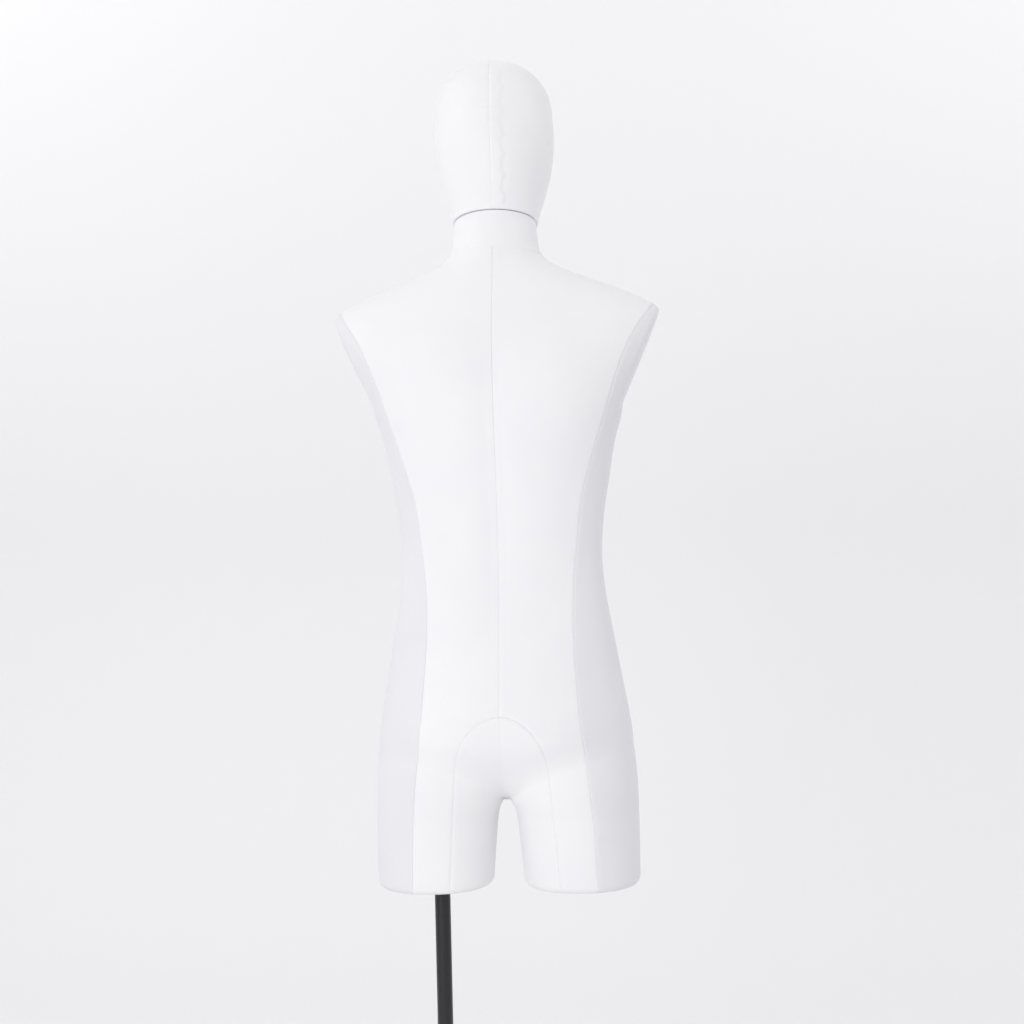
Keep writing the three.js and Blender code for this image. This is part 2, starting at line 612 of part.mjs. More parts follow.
function buildHeadCover() {
  const skin = headSolid(0, HEAD_GAP).subtract(headSolid(COVER, HEAD_GAP - 8));
  const half = SEAM_GAP / 2;
  const rightHalf = block([half, -REACH, -REACH], [REACH, REACH, REACH]);
  const leftHalf = block([-REACH, -REACH, -REACH], [-half, REACH, REACH]);
  piece('head_cover_left', geometryOf(skin.intersect(leftHalf)), whiteFabric, HEAD_FRAME);
  piece('head_cover_right', geometryOf(skin.intersect(rightHalf)), whiteFabric, HEAD_FRAME);
}

function buildHead() {
  const shellInset = COVER + GAP;
  const shell = headSolid(shellInset, HEAD_GAP + 1).subtract(headSolid(shellInset + SHELL_WALL, HEAD_GAP - 8));
  piece('head_shell', geometryOf(shell), mouldedShell, HEAD_FRAME);

  const plateLow = HEAD_GAP + 1.2;
  const plateHigh = plateLow + 8;
  ovalBoard('head_base_plate', HEAD_OVAL, shellInset + SHELL_WALL + 2, SPIGOT_R + GAP, plateLow, plateHigh);
  const flangeLow = plateHigh + GAP;
  const flangeHigh = flangeLow + 2.5;
  const flangeR = PLATE_SCREW_CIRCLE_R + 7;
  const spigot = solid(turned([[0, -SPIGOT_DEEP], [SPIGOT_R - 2, -SPIGOT_DEEP], [SPIGOT_R, 4 - SPIGOT_DEEP],
    [SPIGOT_R, flangeLow], [flangeR, flangeLow], [flangeR, flangeHigh], [0, flangeHigh]]));
  piece('head_spigot', geometryOf(drilled(spigot, flangeLow, flangeHigh)), brightSteel, HEAD_FRAME);
  placePlateScrews('spigot_screw', 10, flangeHigh + 0.3);
}

buildBody();
buildLegPlates();
buildSocket();
buildPole();
buildTube();
buildBase();
buildNeckFittings();
buildHeadCover();
buildHead();

export default group;
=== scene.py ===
# %% [markdown]
# # A fabric-covered torso form
#
# The object is a male torso form for clothes: a light hollow body with a plain egg head and two short
# thighs, dressed in white stretch jersey, on a black pole with a round base. The jersey is cut in panels,
# and what makes it read as cloth is where the panels meet: each seam pulls the surface in a little, the
# folded edges underneath lift it on both sides, and hand-closed seams pucker. So most of this lesson is
# about one smooth body surface, how to cut it into panels, and how to make their seams.

# %% Load the frame
import math

import bmesh
import bpy
import numpy as np
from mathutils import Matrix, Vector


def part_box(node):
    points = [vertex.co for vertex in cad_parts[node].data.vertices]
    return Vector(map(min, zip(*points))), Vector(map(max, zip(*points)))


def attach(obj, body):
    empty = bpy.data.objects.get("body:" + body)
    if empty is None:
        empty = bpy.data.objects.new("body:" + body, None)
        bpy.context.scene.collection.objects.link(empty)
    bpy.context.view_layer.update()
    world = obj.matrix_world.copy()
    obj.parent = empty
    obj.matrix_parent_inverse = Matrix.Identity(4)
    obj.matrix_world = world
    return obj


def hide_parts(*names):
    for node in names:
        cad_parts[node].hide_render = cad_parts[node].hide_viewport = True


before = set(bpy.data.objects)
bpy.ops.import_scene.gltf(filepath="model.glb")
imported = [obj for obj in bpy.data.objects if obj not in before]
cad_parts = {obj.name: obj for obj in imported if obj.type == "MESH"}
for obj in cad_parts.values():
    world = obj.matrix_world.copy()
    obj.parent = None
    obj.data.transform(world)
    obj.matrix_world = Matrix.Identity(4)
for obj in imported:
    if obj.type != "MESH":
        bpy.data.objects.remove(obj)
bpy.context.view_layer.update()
MM = 0.001

# %% [markdown]
# ## Where things are
#
# The frame gives the place of every solid, so the few numbers that the looks share with it are read from
# there: the middle of the body, the underside of the thighs, the top of the outer tube. The shape of the
# body itself is a short table of sections, the same idea as a pattern maker's: at each height, how wide
# the body is, how far it reaches behind and before its middle plane, and how square the section is.

# %% Places from the frame
def box_mm(node):
    """Lowest and highest corner of a node, in millimetres."""
    low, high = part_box(node)
    return np.array(low) / MM, np.array(high) / MM


shell_low, shell_high = box_mm("torso_shell")
pole_low, pole_high = box_mm("pole")
tube_high = box_mm("outer_tube")[1]
plate_low, plate_high = box_mm("base_plate")
BODY_X = (shell_low[0] + shell_high[0]) / 2
LEG_END = box_mm("gusset_left")[0][2]
COVER = 1.0
print(f"body middle at x {BODY_X:.1f}, thighs end at z {LEG_END:.1f}, pole to z {pole_high[2]:.1f}")

# %% The sections of the body, in millimetres
TRUNK = np.array([
    # height, half width, behind, before, squareness
    [790, 183, 98, 95, 2.3],
    [868, 181, 117, 98, 2.35],
    [925, 175.6, 127, 97, 2.3],
    [990, 164.4, 116, 96, 2.3],
    [1057, 152.7, 95, 99, 2.3],
    [1110, 144, 84, 101, 2.3],
    [1162, 140.2, 80, 100, 2.3],
    [1215, 144, 84, 101, 2.35],
    [1267, 152.5, 93, 107, 2.4],
    [1330, 164.6, 107, 115, 2.5],
    [1390, 188, 115.5, 119.5, 2.5],
    [1440, 222, 113, 112, 2.4],
    [1480, 240, 100, 98, 2.3],
    [1505, 222, 88, 86, 2.2],
    [1527, 180, 77, 76, 2.1],
    [1549, 123, 68, 69, 2],
    [1565, 86, 62, 66, 2],
    [1580, 66, 57, 64, 2],
    [1604, 59.5, 53, 66, 2],
    [1640, 57, 46, 71, 2],
])
LEG = np.array([
    # height, half gap between the thighs, outer half width, behind, before
    [700, 22, 183.5, 88, 88],
    [763, 17, 184, 93, 92],
    [805, 12, 183.8, 99, 95],
    [823, 4, 183.4, 103, 96],
    [850, -4, 182.5, 107, 95],
    [885, -8, 179.5, 104, 88],
    [905, -10, 176, 98, 80],
    [925, -12, 170, 90, 70],
])
HEAD = np.array([
    # height above the neck joint, half width, behind, before
    [0, 60, 62, 66],
    [20, 63.5, 67, 82],
    [50, 72, 79, 97],
    [85, 80.5, 91, 103],
    [125, 84.5, 98, 101],
    [160, 82.5, 97, 93],
])
SIDE_SEAM = np.array([
    # height, half width between the side seams
    [690, 127], [791, 123], [847, 118], [903, 112], [959, 106], [1057, 100], [1127, 102], [1183, 108],
    [1239, 115], [1295, 130], [1351, 148], [1407, 166], [1449, 183], [1470, 195], [1506, 219],
])
KEEL_LOW, KEEL_TOP = 826, 915
LEG_FADE_LOW, LEG_FADE_TOP = 895, 965
ARM_X, ARM_Z, ARM_SLOPE, ARM_SOFT = 174, 1372, 0.425, 7
ARMPIT_Z = 1312
LEG_RIM = 10
FORK_SOFT = 12
NECK_TILT = math.radians(11)
JOINT_Y, JOINT_Z = 11, 1628
COLLAR_TILT = math.radians(6.5)
COLLAR_Z = 1580
HEAD_TOP = 230

# %% [markdown]
# ## One surface for the whole body
#
# A loft through sections could make the trunk, but the two thighs have to grow out of it without a crease.
# A signed field does that simply: for any point, how far outside the trunk and outside each thigh it lies,
# and a smooth minimum of the three. The skin is where the field is zero, and a ray shot from inside finds
# it by halving the interval, for a whole array of rays at once.

# %% Curves through the tables
def stations(table, height):
    """Cubic through the rows of a table. Between two rows the value is a Hermite curve whose slope at a
    row is the slope of the line from the row before it to the row after it."""
    table = np.asarray(table, float)
    last = len(table) - 1
    height = np.asarray(height, float)
    i = np.clip(np.searchsorted(table[:, 0], height, side="right") - 1, 0, last - 1)
    before, start, end, after = (table[np.clip(i + k, 0, last)] for k in (-1, 0, 1, 2))
    span = end[..., :1] - start[..., :1]
    t = np.clip((height[..., None] - start[..., :1]) / span, 0, 1)
    slope0 = (end - before) / (end - before)[..., :1] * span
    slope1 = (after - start) / (after - start)[..., :1] * span
    rise = end - start
    value = start + t * (slope0 + t * (3 * rise - 2 * slope0 - slope1 + t * (slope0 + slope1 - 2 * rise)))
    return np.moveaxis(value[..., 1:], -1, 0)


def smooth(t):
    """0 below 0, 1 above 1, and 3t^2 - 2t^3 between."""
    t = np.clip(t, 0, 1)
    return t * t * (3 - 2 * t)


def bump(value, middle, spread):
    """A bell: e to the minus ((value - middle) / spread) squared."""
    return np.exp(-(((value - middle) / spread) ** 2))


def oval(angle, half_width, behind, front, power):
    """Radius of a superellipse: (|cos/a|^p + |sin/b|^p)^(-1/p), with its own b behind and before."""
    depth = np.where(np.sin(angle) < 0, behind, front)
    a = np.abs(np.cos(angle) / half_width) ** power
    b = np.abs(np.sin(angle) / depth) ** power
    return (a + b) ** (-1 / power)


def soft_min(a, b, soft):
    """The smaller of two values, with the corner between them rounded over about the length soft."""
    h = np.clip(0.5 + (b - a) / (2 * soft), 0, 1)
    return b + (a - b) * h - soft * h * (1 - h)


# %% The field
# how high, how far from the middle, how wide, at what height, how tall
CHEST, BREASTBONE = (6, 78, 42, 1392, 55), (-3, 0, 20, 1380, 70)
SHOULDER_BLADE, SEAT = (5, 88, 40, 1405, 60), (7, 78, 50, 925, 50)


def swelling(side, z, high, out, wide, up, tall):
    """A rounded mound: a bell across times a bell up."""
    return high * bump(side, out, wide) * bump(z, up, tall)


def relief(x, z, behind):
    """Swellings of a section: shoulder blades, spine, seat and cleft behind, chest in front."""
    side = np.abs(x)
    chest = swelling(side, z, *CHEST) + swelling(side, z, *BREASTBONE)
    blade = swelling(side, z, *SHOULDER_BLADE)
    spine = -5 * bump(x, 0, 24) * smooth((z - 1020) / 90) * smooth((1500 - z) / 90)
    seat = swelling(side, z, *SEAT)
    cleft = -3 * bump(x, 0, 24) * smooth((970 - z) / 110)
    return np.where(behind, blade + spine + seat + cleft, chest)


def neck_middle(z, behind, front):
    """The section's middle moves forward as the shoulders turn into the neck."""
    return smooth((z - 1530) / 50) * (front - behind) / 2


def field(x, y, z):
    """How far outside the body's skin a point is, in millimetres; negative inside. x is from the
    body's middle."""
    half_width, behind, front, power = stations(TRUNK, z)
    middle = neck_middle(z, behind, front)
    angle = np.arctan2(y - middle, x)
    radius = oval(angle, half_width, behind + middle, front - middle, power)
    radius = radius + relief(radius * np.cos(angle), z, np.sin(angle) < 0) * np.abs(np.sin(angle))
    armhole = (ARM_X + ARM_SLOPE * np.maximum(0, z - ARM_Z)) / np.maximum(0.05, np.abs(np.cos(angle)))
    radius = np.where(z > ARMPIT_Z, soft_min(radius, armhole, ARM_SOFT), radius)
    share = np.sqrt(np.clip(1 - ((KEEL_TOP - z) / (KEEL_TOP - KEEL_LOW)) ** 2, 0, 1))
    share = np.where(z < KEEL_TOP, np.where(z < KEEL_LOW, 0, share), 1)
    trunk = np.hypot(x, y - middle) - radius * share + np.maximum(0, KEEL_LOW - z)

    half_gap, outer, leg_behind, leg_front = stations(LEG, z)
    fade = np.sqrt(1 - np.clip((z - LEG_FADE_LOW) / (LEG_FADE_TOP - LEG_FADE_LOW), 0, 1) ** 2)
    legs = []
    for side in (-1, 1):
        middle_x = side * (half_gap + outer) / 2
        leg_angle = np.arctan2(y, x - middle_x)
        leg_radius = oval(leg_angle, (outer - half_gap) / 2, leg_behind, leg_front, 2.2) * fade
        legs.append(np.hypot(x - middle_x, y) - leg_radius)
    return soft_min(trunk, soft_min(*legs, FORK_SOFT), 6 + 20 * np.sin(angle) ** 2)


def to_skin(start, direction, far=320.0, halvings=34):
    """Where rays from inside the body leave it, or how far they may go: halve the interval between an
    inside and an outside distance until it is far thinner than cloth."""
    near = np.zeros(start.shape[:-1])
    away = np.broadcast_to(np.asarray(far, float), near.shape)
    for _ in range(halvings):
        half = (near + away) / 2
        point = start + direction * half[..., None]
        inside = field(point[..., 0], point[..., 1], point[..., 2]) < 0
        near = np.where(inside, half, near)
        away = np.where(inside, away, half)
    return start + direction * near[..., None]


def outward(point, step=0.6):
    """Unit normals: the slope of the field along each axis."""
    parts = []
    for axis in range(3):
        shift = np.zeros(3)
        shift[axis] = step
        ahead, back = point + shift, point - shift
        parts.append(field(*np.moveaxis(ahead, -1, 0)) - field(*np.moveaxis(back, -1, 0)))
    normal = np.stack(parts, -1)
    return normal / np.maximum(np.linalg.norm(normal, axis=-1, keepdims=True), 1e-9)


print("field at the middle of the chest:", float(field(np.array(0.0), np.array(0.0), np.array(1400.0))))

# %% [markdown]
# ## From arrays to meshes
#
# Every piece here is a grid of points, rows by columns, so one function turns a grid into a mesh: quads
# between neighbours, a UV map in metres along the cloth for its weave, doubles merged where a row or a
# column closes up to a point, and a thin wall of cloth put on by Solidify. The grid's own outward direction
# is compared with the quads' normals, so a mirrored grid still faces out.

# %% Grid to mesh
def grid_mesh(name, points, outside, uv=None, close_columns=False):
    """Quads (i, j), (i, j+1), (i+1, j+1), (i+1, j) of a grid of points in millimetres. outside is a
    grid of directions that point away from the object."""
    rows, columns = points.shape[:2]
    index = np.arange(rows * columns).reshape(rows, columns)
    if close_columns:
        index = np.concatenate([index, index[:, :1]], axis=1)
    quads = np.stack([index[:-1, :-1], index[:-1, 1:], index[1:, 1:], index[1:, :-1]], -1).reshape(-1, 4)
    flat = points.reshape(-1, 3)
    corners = flat[quads]
    face_normal = np.cross(corners[:, 2] - corners[:, 0], corners[:, 3] - corners[:, 1])
    if np.sum(face_normal * outside.reshape(-1, 3)[quads[:, 0]]) < 0:
        quads = quads[:, ::-1]
    mesh = bpy.data.meshes.new(name)
    mesh.from_pydata((flat * MM).tolist(), [], quads.tolist())
    if uv is not None:
        layer = mesh.uv_layers.new(name="cloth")
        layer.data.foreach_set("uv", (uv.reshape(-1, 2)[quads.ravel()] * MM).ravel())
    work = bmesh.new()
    work.from_mesh(mesh)
    bmesh.ops.remove_doubles(work, verts=work.verts, dist=2e-6)
    bmesh.ops.dissolve_degenerate(work, edges=work.edges, dist=1e-7)
    work.to_mesh(mesh)
    work.free()
    mesh.polygons.foreach_set("use_smooth", np.ones(len(mesh.polygons), bool))
    piece = bpy.data.objects.new(name, mesh)
    bpy.context.scene.collection.objects.link(piece)
    return piece


def add_wall(piece, thick, offset=-1.0):
    """A wall of that thickness, in millimetres, under the surface."""
    wall = piece.modifiers.new("wall", "SOLIDIFY")
    wall.thickness = thick * MM
    wall.offset = offset


def finish_piece(piece, body, material, slot_name, *nodes):
    """Gives a piece its material and body, and hides the solids that it stands for."""
    piece.data.materials.append(material)
    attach(piece, body)
    if nodes:
        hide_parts(*nodes)
    return piece


# %% [markdown]
# ## Finishes
#
# White stretch jersey is never a flat white. Close up it is a knit of tiny upright loops, and over the
# whole body it has faint clouds where the cloth is pulled thinner and the darker lining shows. Its
# fibres stand up and catch light at grazing angles, which is sheen. The knit follows the cloth, so it
# reads the UV map, and the clouds read Object coordinates, so that they run across the seams.

# %% Node helpers
def new_material(name, color, roughness, metallic=0.0):
    """A Principled material with its plain values on its own sockets."""
    material = bpy.data.materials.new(name)
    material.use_nodes = True
    shader = material.node_tree.nodes["Principled BSDF"]
    shader.inputs["Base Color"].default_value = (*color, 1)
    shader.inputs["Roughness"].default_value = roughness
    shader.inputs["Metallic"].default_value = metallic
    return material, material.node_tree, shader


def node(tree, kind, values=None, **settings):
    """A node with its settings and its input values."""
    made = tree.nodes.new(kind)
    for key, value in settings.items():
        setattr(made, key, value)
    for key, value in (values or {}).items():
        made.inputs[key].default_value = value
    return made


def noise(tree, coordinates, scale, detail=3.0, roughness=0.5, stretch=None):
    """Noise texture on the given coordinates, stretched by a Mapping node."""
    if stretch is not None:
        mapping = node(tree, "ShaderNodeMapping", {"Scale": stretch})
        tree.links.new(coordinates, mapping.inputs["Vector"])
        coordinates = mapping.outputs["Vector"]
    texture = node(tree, "ShaderNodeTexNoise", {"Scale": scale, "Detail": detail, "Roughness": roughness})
    tree.links.new(coordinates, texture.inputs["Vector"])
    return texture.outputs["Fac"]


def ramp(tree, source, stops):
    """A colour ramp: pairs of position and grey or colour."""
    made = node(tree, "ShaderNodeValToRGB")
    elements = made.color_ramp.elements
    while len(elements) < len(stops):
        elements.new(0.5)
    for element, (place, color) in zip(elements, stops):
        element.position = place
        element.color = (*color, 1) if hasattr(color, "__len__") else (color, color, color, 1)
    tree.links.new(source, made.inputs["Fac"])
    return made.outputs["Color"]


def math_node(tree, operation, a, b=None):
    """One Math node of two sockets or numbers."""
    made = node(tree, "ShaderNodeMath", operation=operation)
    for socket, value in zip(made.inputs, (a, b)):
        if value is None:
            continue
        if isinstance(value, (int, float)):
            socket.default_value = value
        else:
            tree.links.new(value, socket)
    return made.outputs["Value"]


def bump_chain(tree, shader, layers):
    """Bump nodes in a row, each with a height socket, a strength and a distance in metres."""
    normal = None
    for height, strength, distance in layers:
        made = node(tree, "ShaderNodeBump", {"Strength": strength, "Distance": distance})
        tree.links.new(height, made.inputs["Height"])
        if normal is not None:
            tree.links.new(normal, made.inputs["Normal"])
        normal = made.outputs["Normal"]
    tree.links.new(normal, shader.inputs["Normal"])


# %% White jersey
WALE_WIDE, COURSE_HIGH = 0.0011, 0.0014
LOOP_SLANT, COURSE_SHARE = 2.2, 0.35


def make_jersey(name, dark, light):
    """Knit loops: upright wales as a sine across the cloth, and short slanted loops as a second sine
    along it whose phase swings with the wale."""
    material, tree, shader = new_material(name, light, 0.86)
    shader.inputs["Sheen Weight"].default_value = 0.22
    shader.inputs["Sheen Roughness"].default_value = 0.5
    shader.inputs["Specular IOR Level"].default_value = 0.25
    place = node(tree, "ShaderNodeTexCoord").outputs["Object"]
    cloth = node(tree, "ShaderNodeUVMap", uv_map="cloth").outputs["UV"]
    split = node(tree, "ShaderNodeSeparateXYZ")
    tree.links.new(cloth, split.inputs["Vector"])
    across = math_node(tree, "MULTIPLY", split.outputs["X"], 2 * math.pi / WALE_WIDE)
    wale = math_node(tree, "SINE", across)
    along = math_node(tree, "MULTIPLY", split.outputs["Y"], 2 * math.pi / COURSE_HIGH)
    slant = math_node(tree, "MULTIPLY", math_node(tree, "ABSOLUTE", wale), LOOP_SLANT)
    course = math_node(tree, "SINE", math_node(tree, "ADD", along, slant))
    rows = math_node(tree, "MULTIPLY", course, COURSE_SHARE)
    knit = math_node(tree, "ADD", math_node(tree, "ABSOLUTE", wale), rows)
    fuzz = noise(tree, place, 900, 4, 0.7)
    clouds = noise(tree, place, 7, 4, 0.55)
    pull = noise(tree, place, 26, 3, 0.6, stretch=(1.0, 1.0, 0.4))
    tint = ramp(tree, clouds, [(0.3, dark), (0.7, light)])
    tree.links.new(tint, shader.inputs["Base Color"])
    bump_chain(tree, shader, [(pull, 0.10, 0.0008), (knit, 0.22, 0.00012), (fuzz, 0.18, 0.0001)])
    return material


jersey = make_jersey("white jersey", (0.905, 0.902, 0.918), (0.935, 0.931, 0.94))
# The side panels get a darker, greyer copy of the jersey: painted shade for the flanks, which turn away from
# the light.
shaded_side_jersey = make_jersey("white jersey darkened for painted flank shade", (0.82, 0.822, 0.845), (0.855, 0.855, 0.872))
print("made", jersey.name, "and", shaded_side_jersey.name)

# %% Metals, nylon, board, felt
def make_powder_coat():
    """Black satin powder coat: an orange-peel skin under a soft gloss."""
    material, tree, shader = new_material("black powder coat", (0.009, 0.009, 0.0105), 0.42)
    place = node(tree, "ShaderNodeTexCoord").outputs["Object"]
    shader.inputs["Coat Weight"].default_value = 0.12
    shader.inputs["Coat Roughness"].default_value = 0.22
    rubbed = ramp(tree, noise(tree, place, 14, 5, 0.6), [(0.35, 0.30), (0.75, 0.44)])
    tree.links.new(rubbed, shader.inputs["Roughness"])
    bump_chain(tree, shader, [(noise(tree, place, 420, 2), 0.12, 0.0001)])
    return material


def make_zinc():
    """Zinc-plated steel: bright, with fine turning marks and dull patches."""
    material, tree, shader = new_material("zinc plate", (0.58, 0.6, 0.62), 0.3, 1.0)
    place = node(tree, "ShaderNodeTexCoord").outputs["Object"]
    dull = ramp(tree, noise(tree, place, 60, 4), [(0.3, 0.22), (0.8, 0.42)])
    tree.links.new(dull, shader.inputs["Roughness"])
    bump_chain(tree, shader, [(noise(tree, place, 60, 2, 0.5, stretch=(1, 1, 40)), 0.08, 0.00005)])
    return material


def make_nylon():
    """Moulded black nylon: matt, with a fine spark-eroded grain."""
    material, tree, shader = new_material("black nylon", (0.02, 0.02, 0.021), 0.52)
    place = node(tree, "ShaderNodeTexCoord").outputs["Object"]
    grain = noise(tree, place, 1400, 3, 0.6)
    tree.links.new(ramp(tree, noise(tree, place, 30, 3), [(0.3, 0.46), (0.75, 0.6)]),
                   shader.inputs["Roughness"])
    bump_chain(tree, shader, [(grain, 0.25, 0.00008)])
    return material


def make_board():
    """Stained hardboard: red-brown, with pressed fibres and darker specks."""
    material, tree, shader = new_material("stained hardboard", (0.2, 0.09, 0.05), 0.6)
    place = node(tree, "ShaderNodeTexCoord").outputs["Object"]
    fibres = noise(tree, place, 260, 6, 0.75, stretch=(1.0, 0.35, 1.0))
    tint = ramp(tree, fibres, [(0.3, (0.13, 0.055, 0.03)), (0.55, (0.21, 0.095, 0.05)),
                               (0.8, (0.3, 0.15, 0.085))])
    tree.links.new(tint, shader.inputs["Base Color"])
    bump_chain(tree, shader, [(fibres, 0.3, 0.0002)])
    return material


def make_laminate():
    """Inside of the moulded shell: resin over chopped glass mat, cream and mottled."""
    material, tree, shader = new_material("glass laminate", (0.62, 0.58, 0.48), 0.5)
    place = node(tree, "ShaderNodeTexCoord").outputs["Object"]
    strands = noise(tree, place, 120, 5, 0.8, stretch=(1.0, 0.3, 0.5))
    tint = ramp(tree, strands, [(0.3, (0.52, 0.48, 0.38)), (0.7, (0.7, 0.66, 0.56))])
    tree.links.new(tint, shader.inputs["Base Color"])
    bump_chain(tree, shader, [(strands, 0.4, 0.0005)])
    return material


def make_felt():
    """Charcoal needle felt."""
    material, tree, shader = new_material("charcoal felt", (0.045, 0.045, 0.048), 0.95)
    place = node(tree, "ShaderNodeTexCoord").outputs["Object"]
    shader.inputs["Sheen Weight"].default_value = 0.3
    fluff = noise(tree, place, 700, 6, 0.8)
    tree.links.new(ramp(tree, fluff, [(0.3, 0.03), (0.75, 0.075)]), shader.inputs["Base Color"])
    bump_chain(tree, shader, [(fluff, 0.6, 0.0004)])
    return material


powder_coat = make_powder_coat()
zinc = make_zinc()
nylon = make_nylon()
hardboard = make_board()
laminate = make_laminate()
charcoal_felt = make_felt()
CARRIED_OVER = {
    "neck_ring": hardboard, "tube_insert": zinc,
    "base_bolt": zinc, "base_washer": zinc, "pole_plug": nylon,
    "spigot_screw_1": zinc, "spigot_screw_2": zinc, "spigot_screw_3": zinc,
}
for name, material in CARRIED_OVER.items():
    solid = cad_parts[name]
    solid.data.materials.clear()
    solid.data.materials.append(material)
print("gave", len(CARRIED_OVER), "hidden solids their finish")

# %% [markdown]
# ## The camera and the light
#
# The camera stands level behind the form, two and a half metres away, at the height of the waist, and a
# few degrees round to the right, so a little of the right flank shows. A large soft light stands on the
# left and a bright wall is behind the form, as in a white studio.

# %% Camera
CAMERA_AWAY = 2.5
CAMERA_HEIGHT = 1.222
CAMERA_ROUND = math.radians(4.2)
CAMERA_ROLL = math.radians(-1.3)
PICTURE_WIDE = 1.438
CAMERA_SHIFT = 0.0105
lens = bpy.data.cameras.new("camera")
lens.sensor_width = 36
lens.lens = lens.sensor_width * CAMERA_AWAY / PICTURE_WIDE
camera = bpy.data.objects.new("camera", lens)
camera.location = (BODY_X * MM + CAMERA_AWAY * math.sin(CAMERA_ROUND),
                   -CAMERA_AWAY * math.cos(CAMERA_ROUND), CAMERA_HEIGHT)
camera.rotation_euler = (math.pi / 2, 0, CAMERA_ROUND)
camera.rotation_euler.rotate_axis("Z", CAMERA_ROLL)
lens.shift_x = CAMERA_SHIFT
lens.clip_end = 60
bpy.context.scene.collection.objects.link(camera)
bpy.context.scene.camera = camera
print(f"lens {lens.lens:.1f} mm")

# %% [markdown]
# ## Seams
#
# The body's panels meet along a centre seam, two side seams behind and two in front, an arch over the
# crotch, the shoulder seams and the collar. Both neighbours of a seam are worked out from the same curve,
# so they share its points. A groove is pressed along each seam, and the allowances folded under
# the cloth lift it slightly beside the groove. The press depends only on the distance to the nearest seam.

# %% Seam curves
def side_x(z):
    """Half the width between the side seams at a height."""
    return stations(SIDE_SEAM, z)[0]


ARCH_TOP, ARCH_SPRING, ARCH_HALF, LEG_HALF = 948, 862, 64, 76


def arch_x(z):
    """The gusset seam: a quarter ellipse from the centre down to where it springs, then nearly straight."""
    curve = ARCH_HALF * np.sqrt(np.clip(1 - ((z - ARCH_SPRING) / (ARCH_TOP - ARCH_SPRING)) ** 2, 0, 1))
    run = ARCH_HALF + (LEG_HALF - ARCH_HALF) * (ARCH_SPRING - z) / (ARCH_SPRING - LEG_END)
    return np.where(z > ARCH_SPRING, np.where(z >= ARCH_TOP, 0, curve), run)


def depth_at(x, z, way):
    """The skin's y at (x, z), looking from the middle plane backwards (way -1) or forwards (way 1)."""
    x, z = np.broadcast_arrays(np.asarray(x, float), np.asarray(z, float))
    start = np.stack([x, np.zeros_like(x), z], -1)
    direction = np.zeros_like(start)
    direction[..., 1] = way
    return to_skin(start, direction)


def ridge_z(x):
    """Height of the shoulder line, where the skin crosses the middle plane over a place x."""
    x = np.asarray(x, float)
    start = np.stack([x, np.zeros_like(x), np.full_like(x, 1480.0)], -1)
    direction = np.zeros_like(start)
    direction[..., 2] = 1
    return to_skin(start, direction)[..., 2]


TIP_X = 219.0
TIP_Z = float(ridge_z(np.array([TIP_X]))[0])
SIDE_SEAM[-1] = [TIP_Z, TIP_X]
COLLAR_HALF = 66.0


def collar_z(x, way):
    """Height of the collar seam over a place x: on the leaning plane z = collar - tan(tilt) * y."""
    z = np.full_like(np.asarray(x, float), COLLAR_Z)
    for _ in range(6):
        y = depth_at(np.minimum(np.abs(x), COLLAR_HALF - 0.4), z, way)[..., 1]
        y = y * np.sqrt(np.clip(1 - (np.abs(x) / COLLAR_HALF) ** 8, 0, 1))
        z = COLLAR_Z - math.tan(COLLAR_TILT) * y
    return z


print(f"shoulder tip at x {TIP_X:.0f}, z {TIP_Z:.1f}")

# %% Rows and columns
def spread(start, end, step, fine=(), finest=0.7, grow=1.35):
    """Numbers from start to end about a step apart, closing up geometrically towards the fine ends,
    which are any of 'start' and 'end'."""
    length = abs(end - start)
    near = []
    size, reach = finest, 0.0
    while size < step and reach < length * 0.3:
        reach += size
        near.append(reach)
        size *= grow
    head = [0.0] + near if "start" in fine else [0.0]
    tail = [length - value for value in reversed(near)] + [length] if "end" in fine else [length]
    middle_from, middle_to = head[-1], tail[0]
    count = max(2, int(round((middle_to - middle_from) / step)) + 1)
    middle = np.linspace(middle_from, middle_to, count)
    values = np.concatenate([head[:-1], middle, tail[1:]])
    return start + np.sign(end - start) * values


# %% Panels
RIM_TURNS = np.radians([12, 26, 40, 54, 68, 80, 90])
TURN_IN = 5.0


def round_the_rim(points):
    """Adds rows under a grid whose last row is at the top of the thigh's rounded edge: a quarter circle
    inwards and down, then a flat turn-in. The direction inwards is the skin's normal without its z."""
    last = points[-1]
    inward = -outward(last)
    inward[..., 2] = 0
    inward /= np.maximum(np.linalg.norm(inward, axis=-1, keepdims=True), 1e-9)
    rows = []
    for turn in RIM_TURNS:
        row = last + inward * (LEG_RIM * (1 - math.cos(turn)))
        row[..., 2] = LEG_END + LEG_RIM * (1 - math.sin(turn))
        rows.append(row)
    rows.append(rows[-1] + inward * TURN_IN)
    return np.concatenate([points, np.stack(rows)])


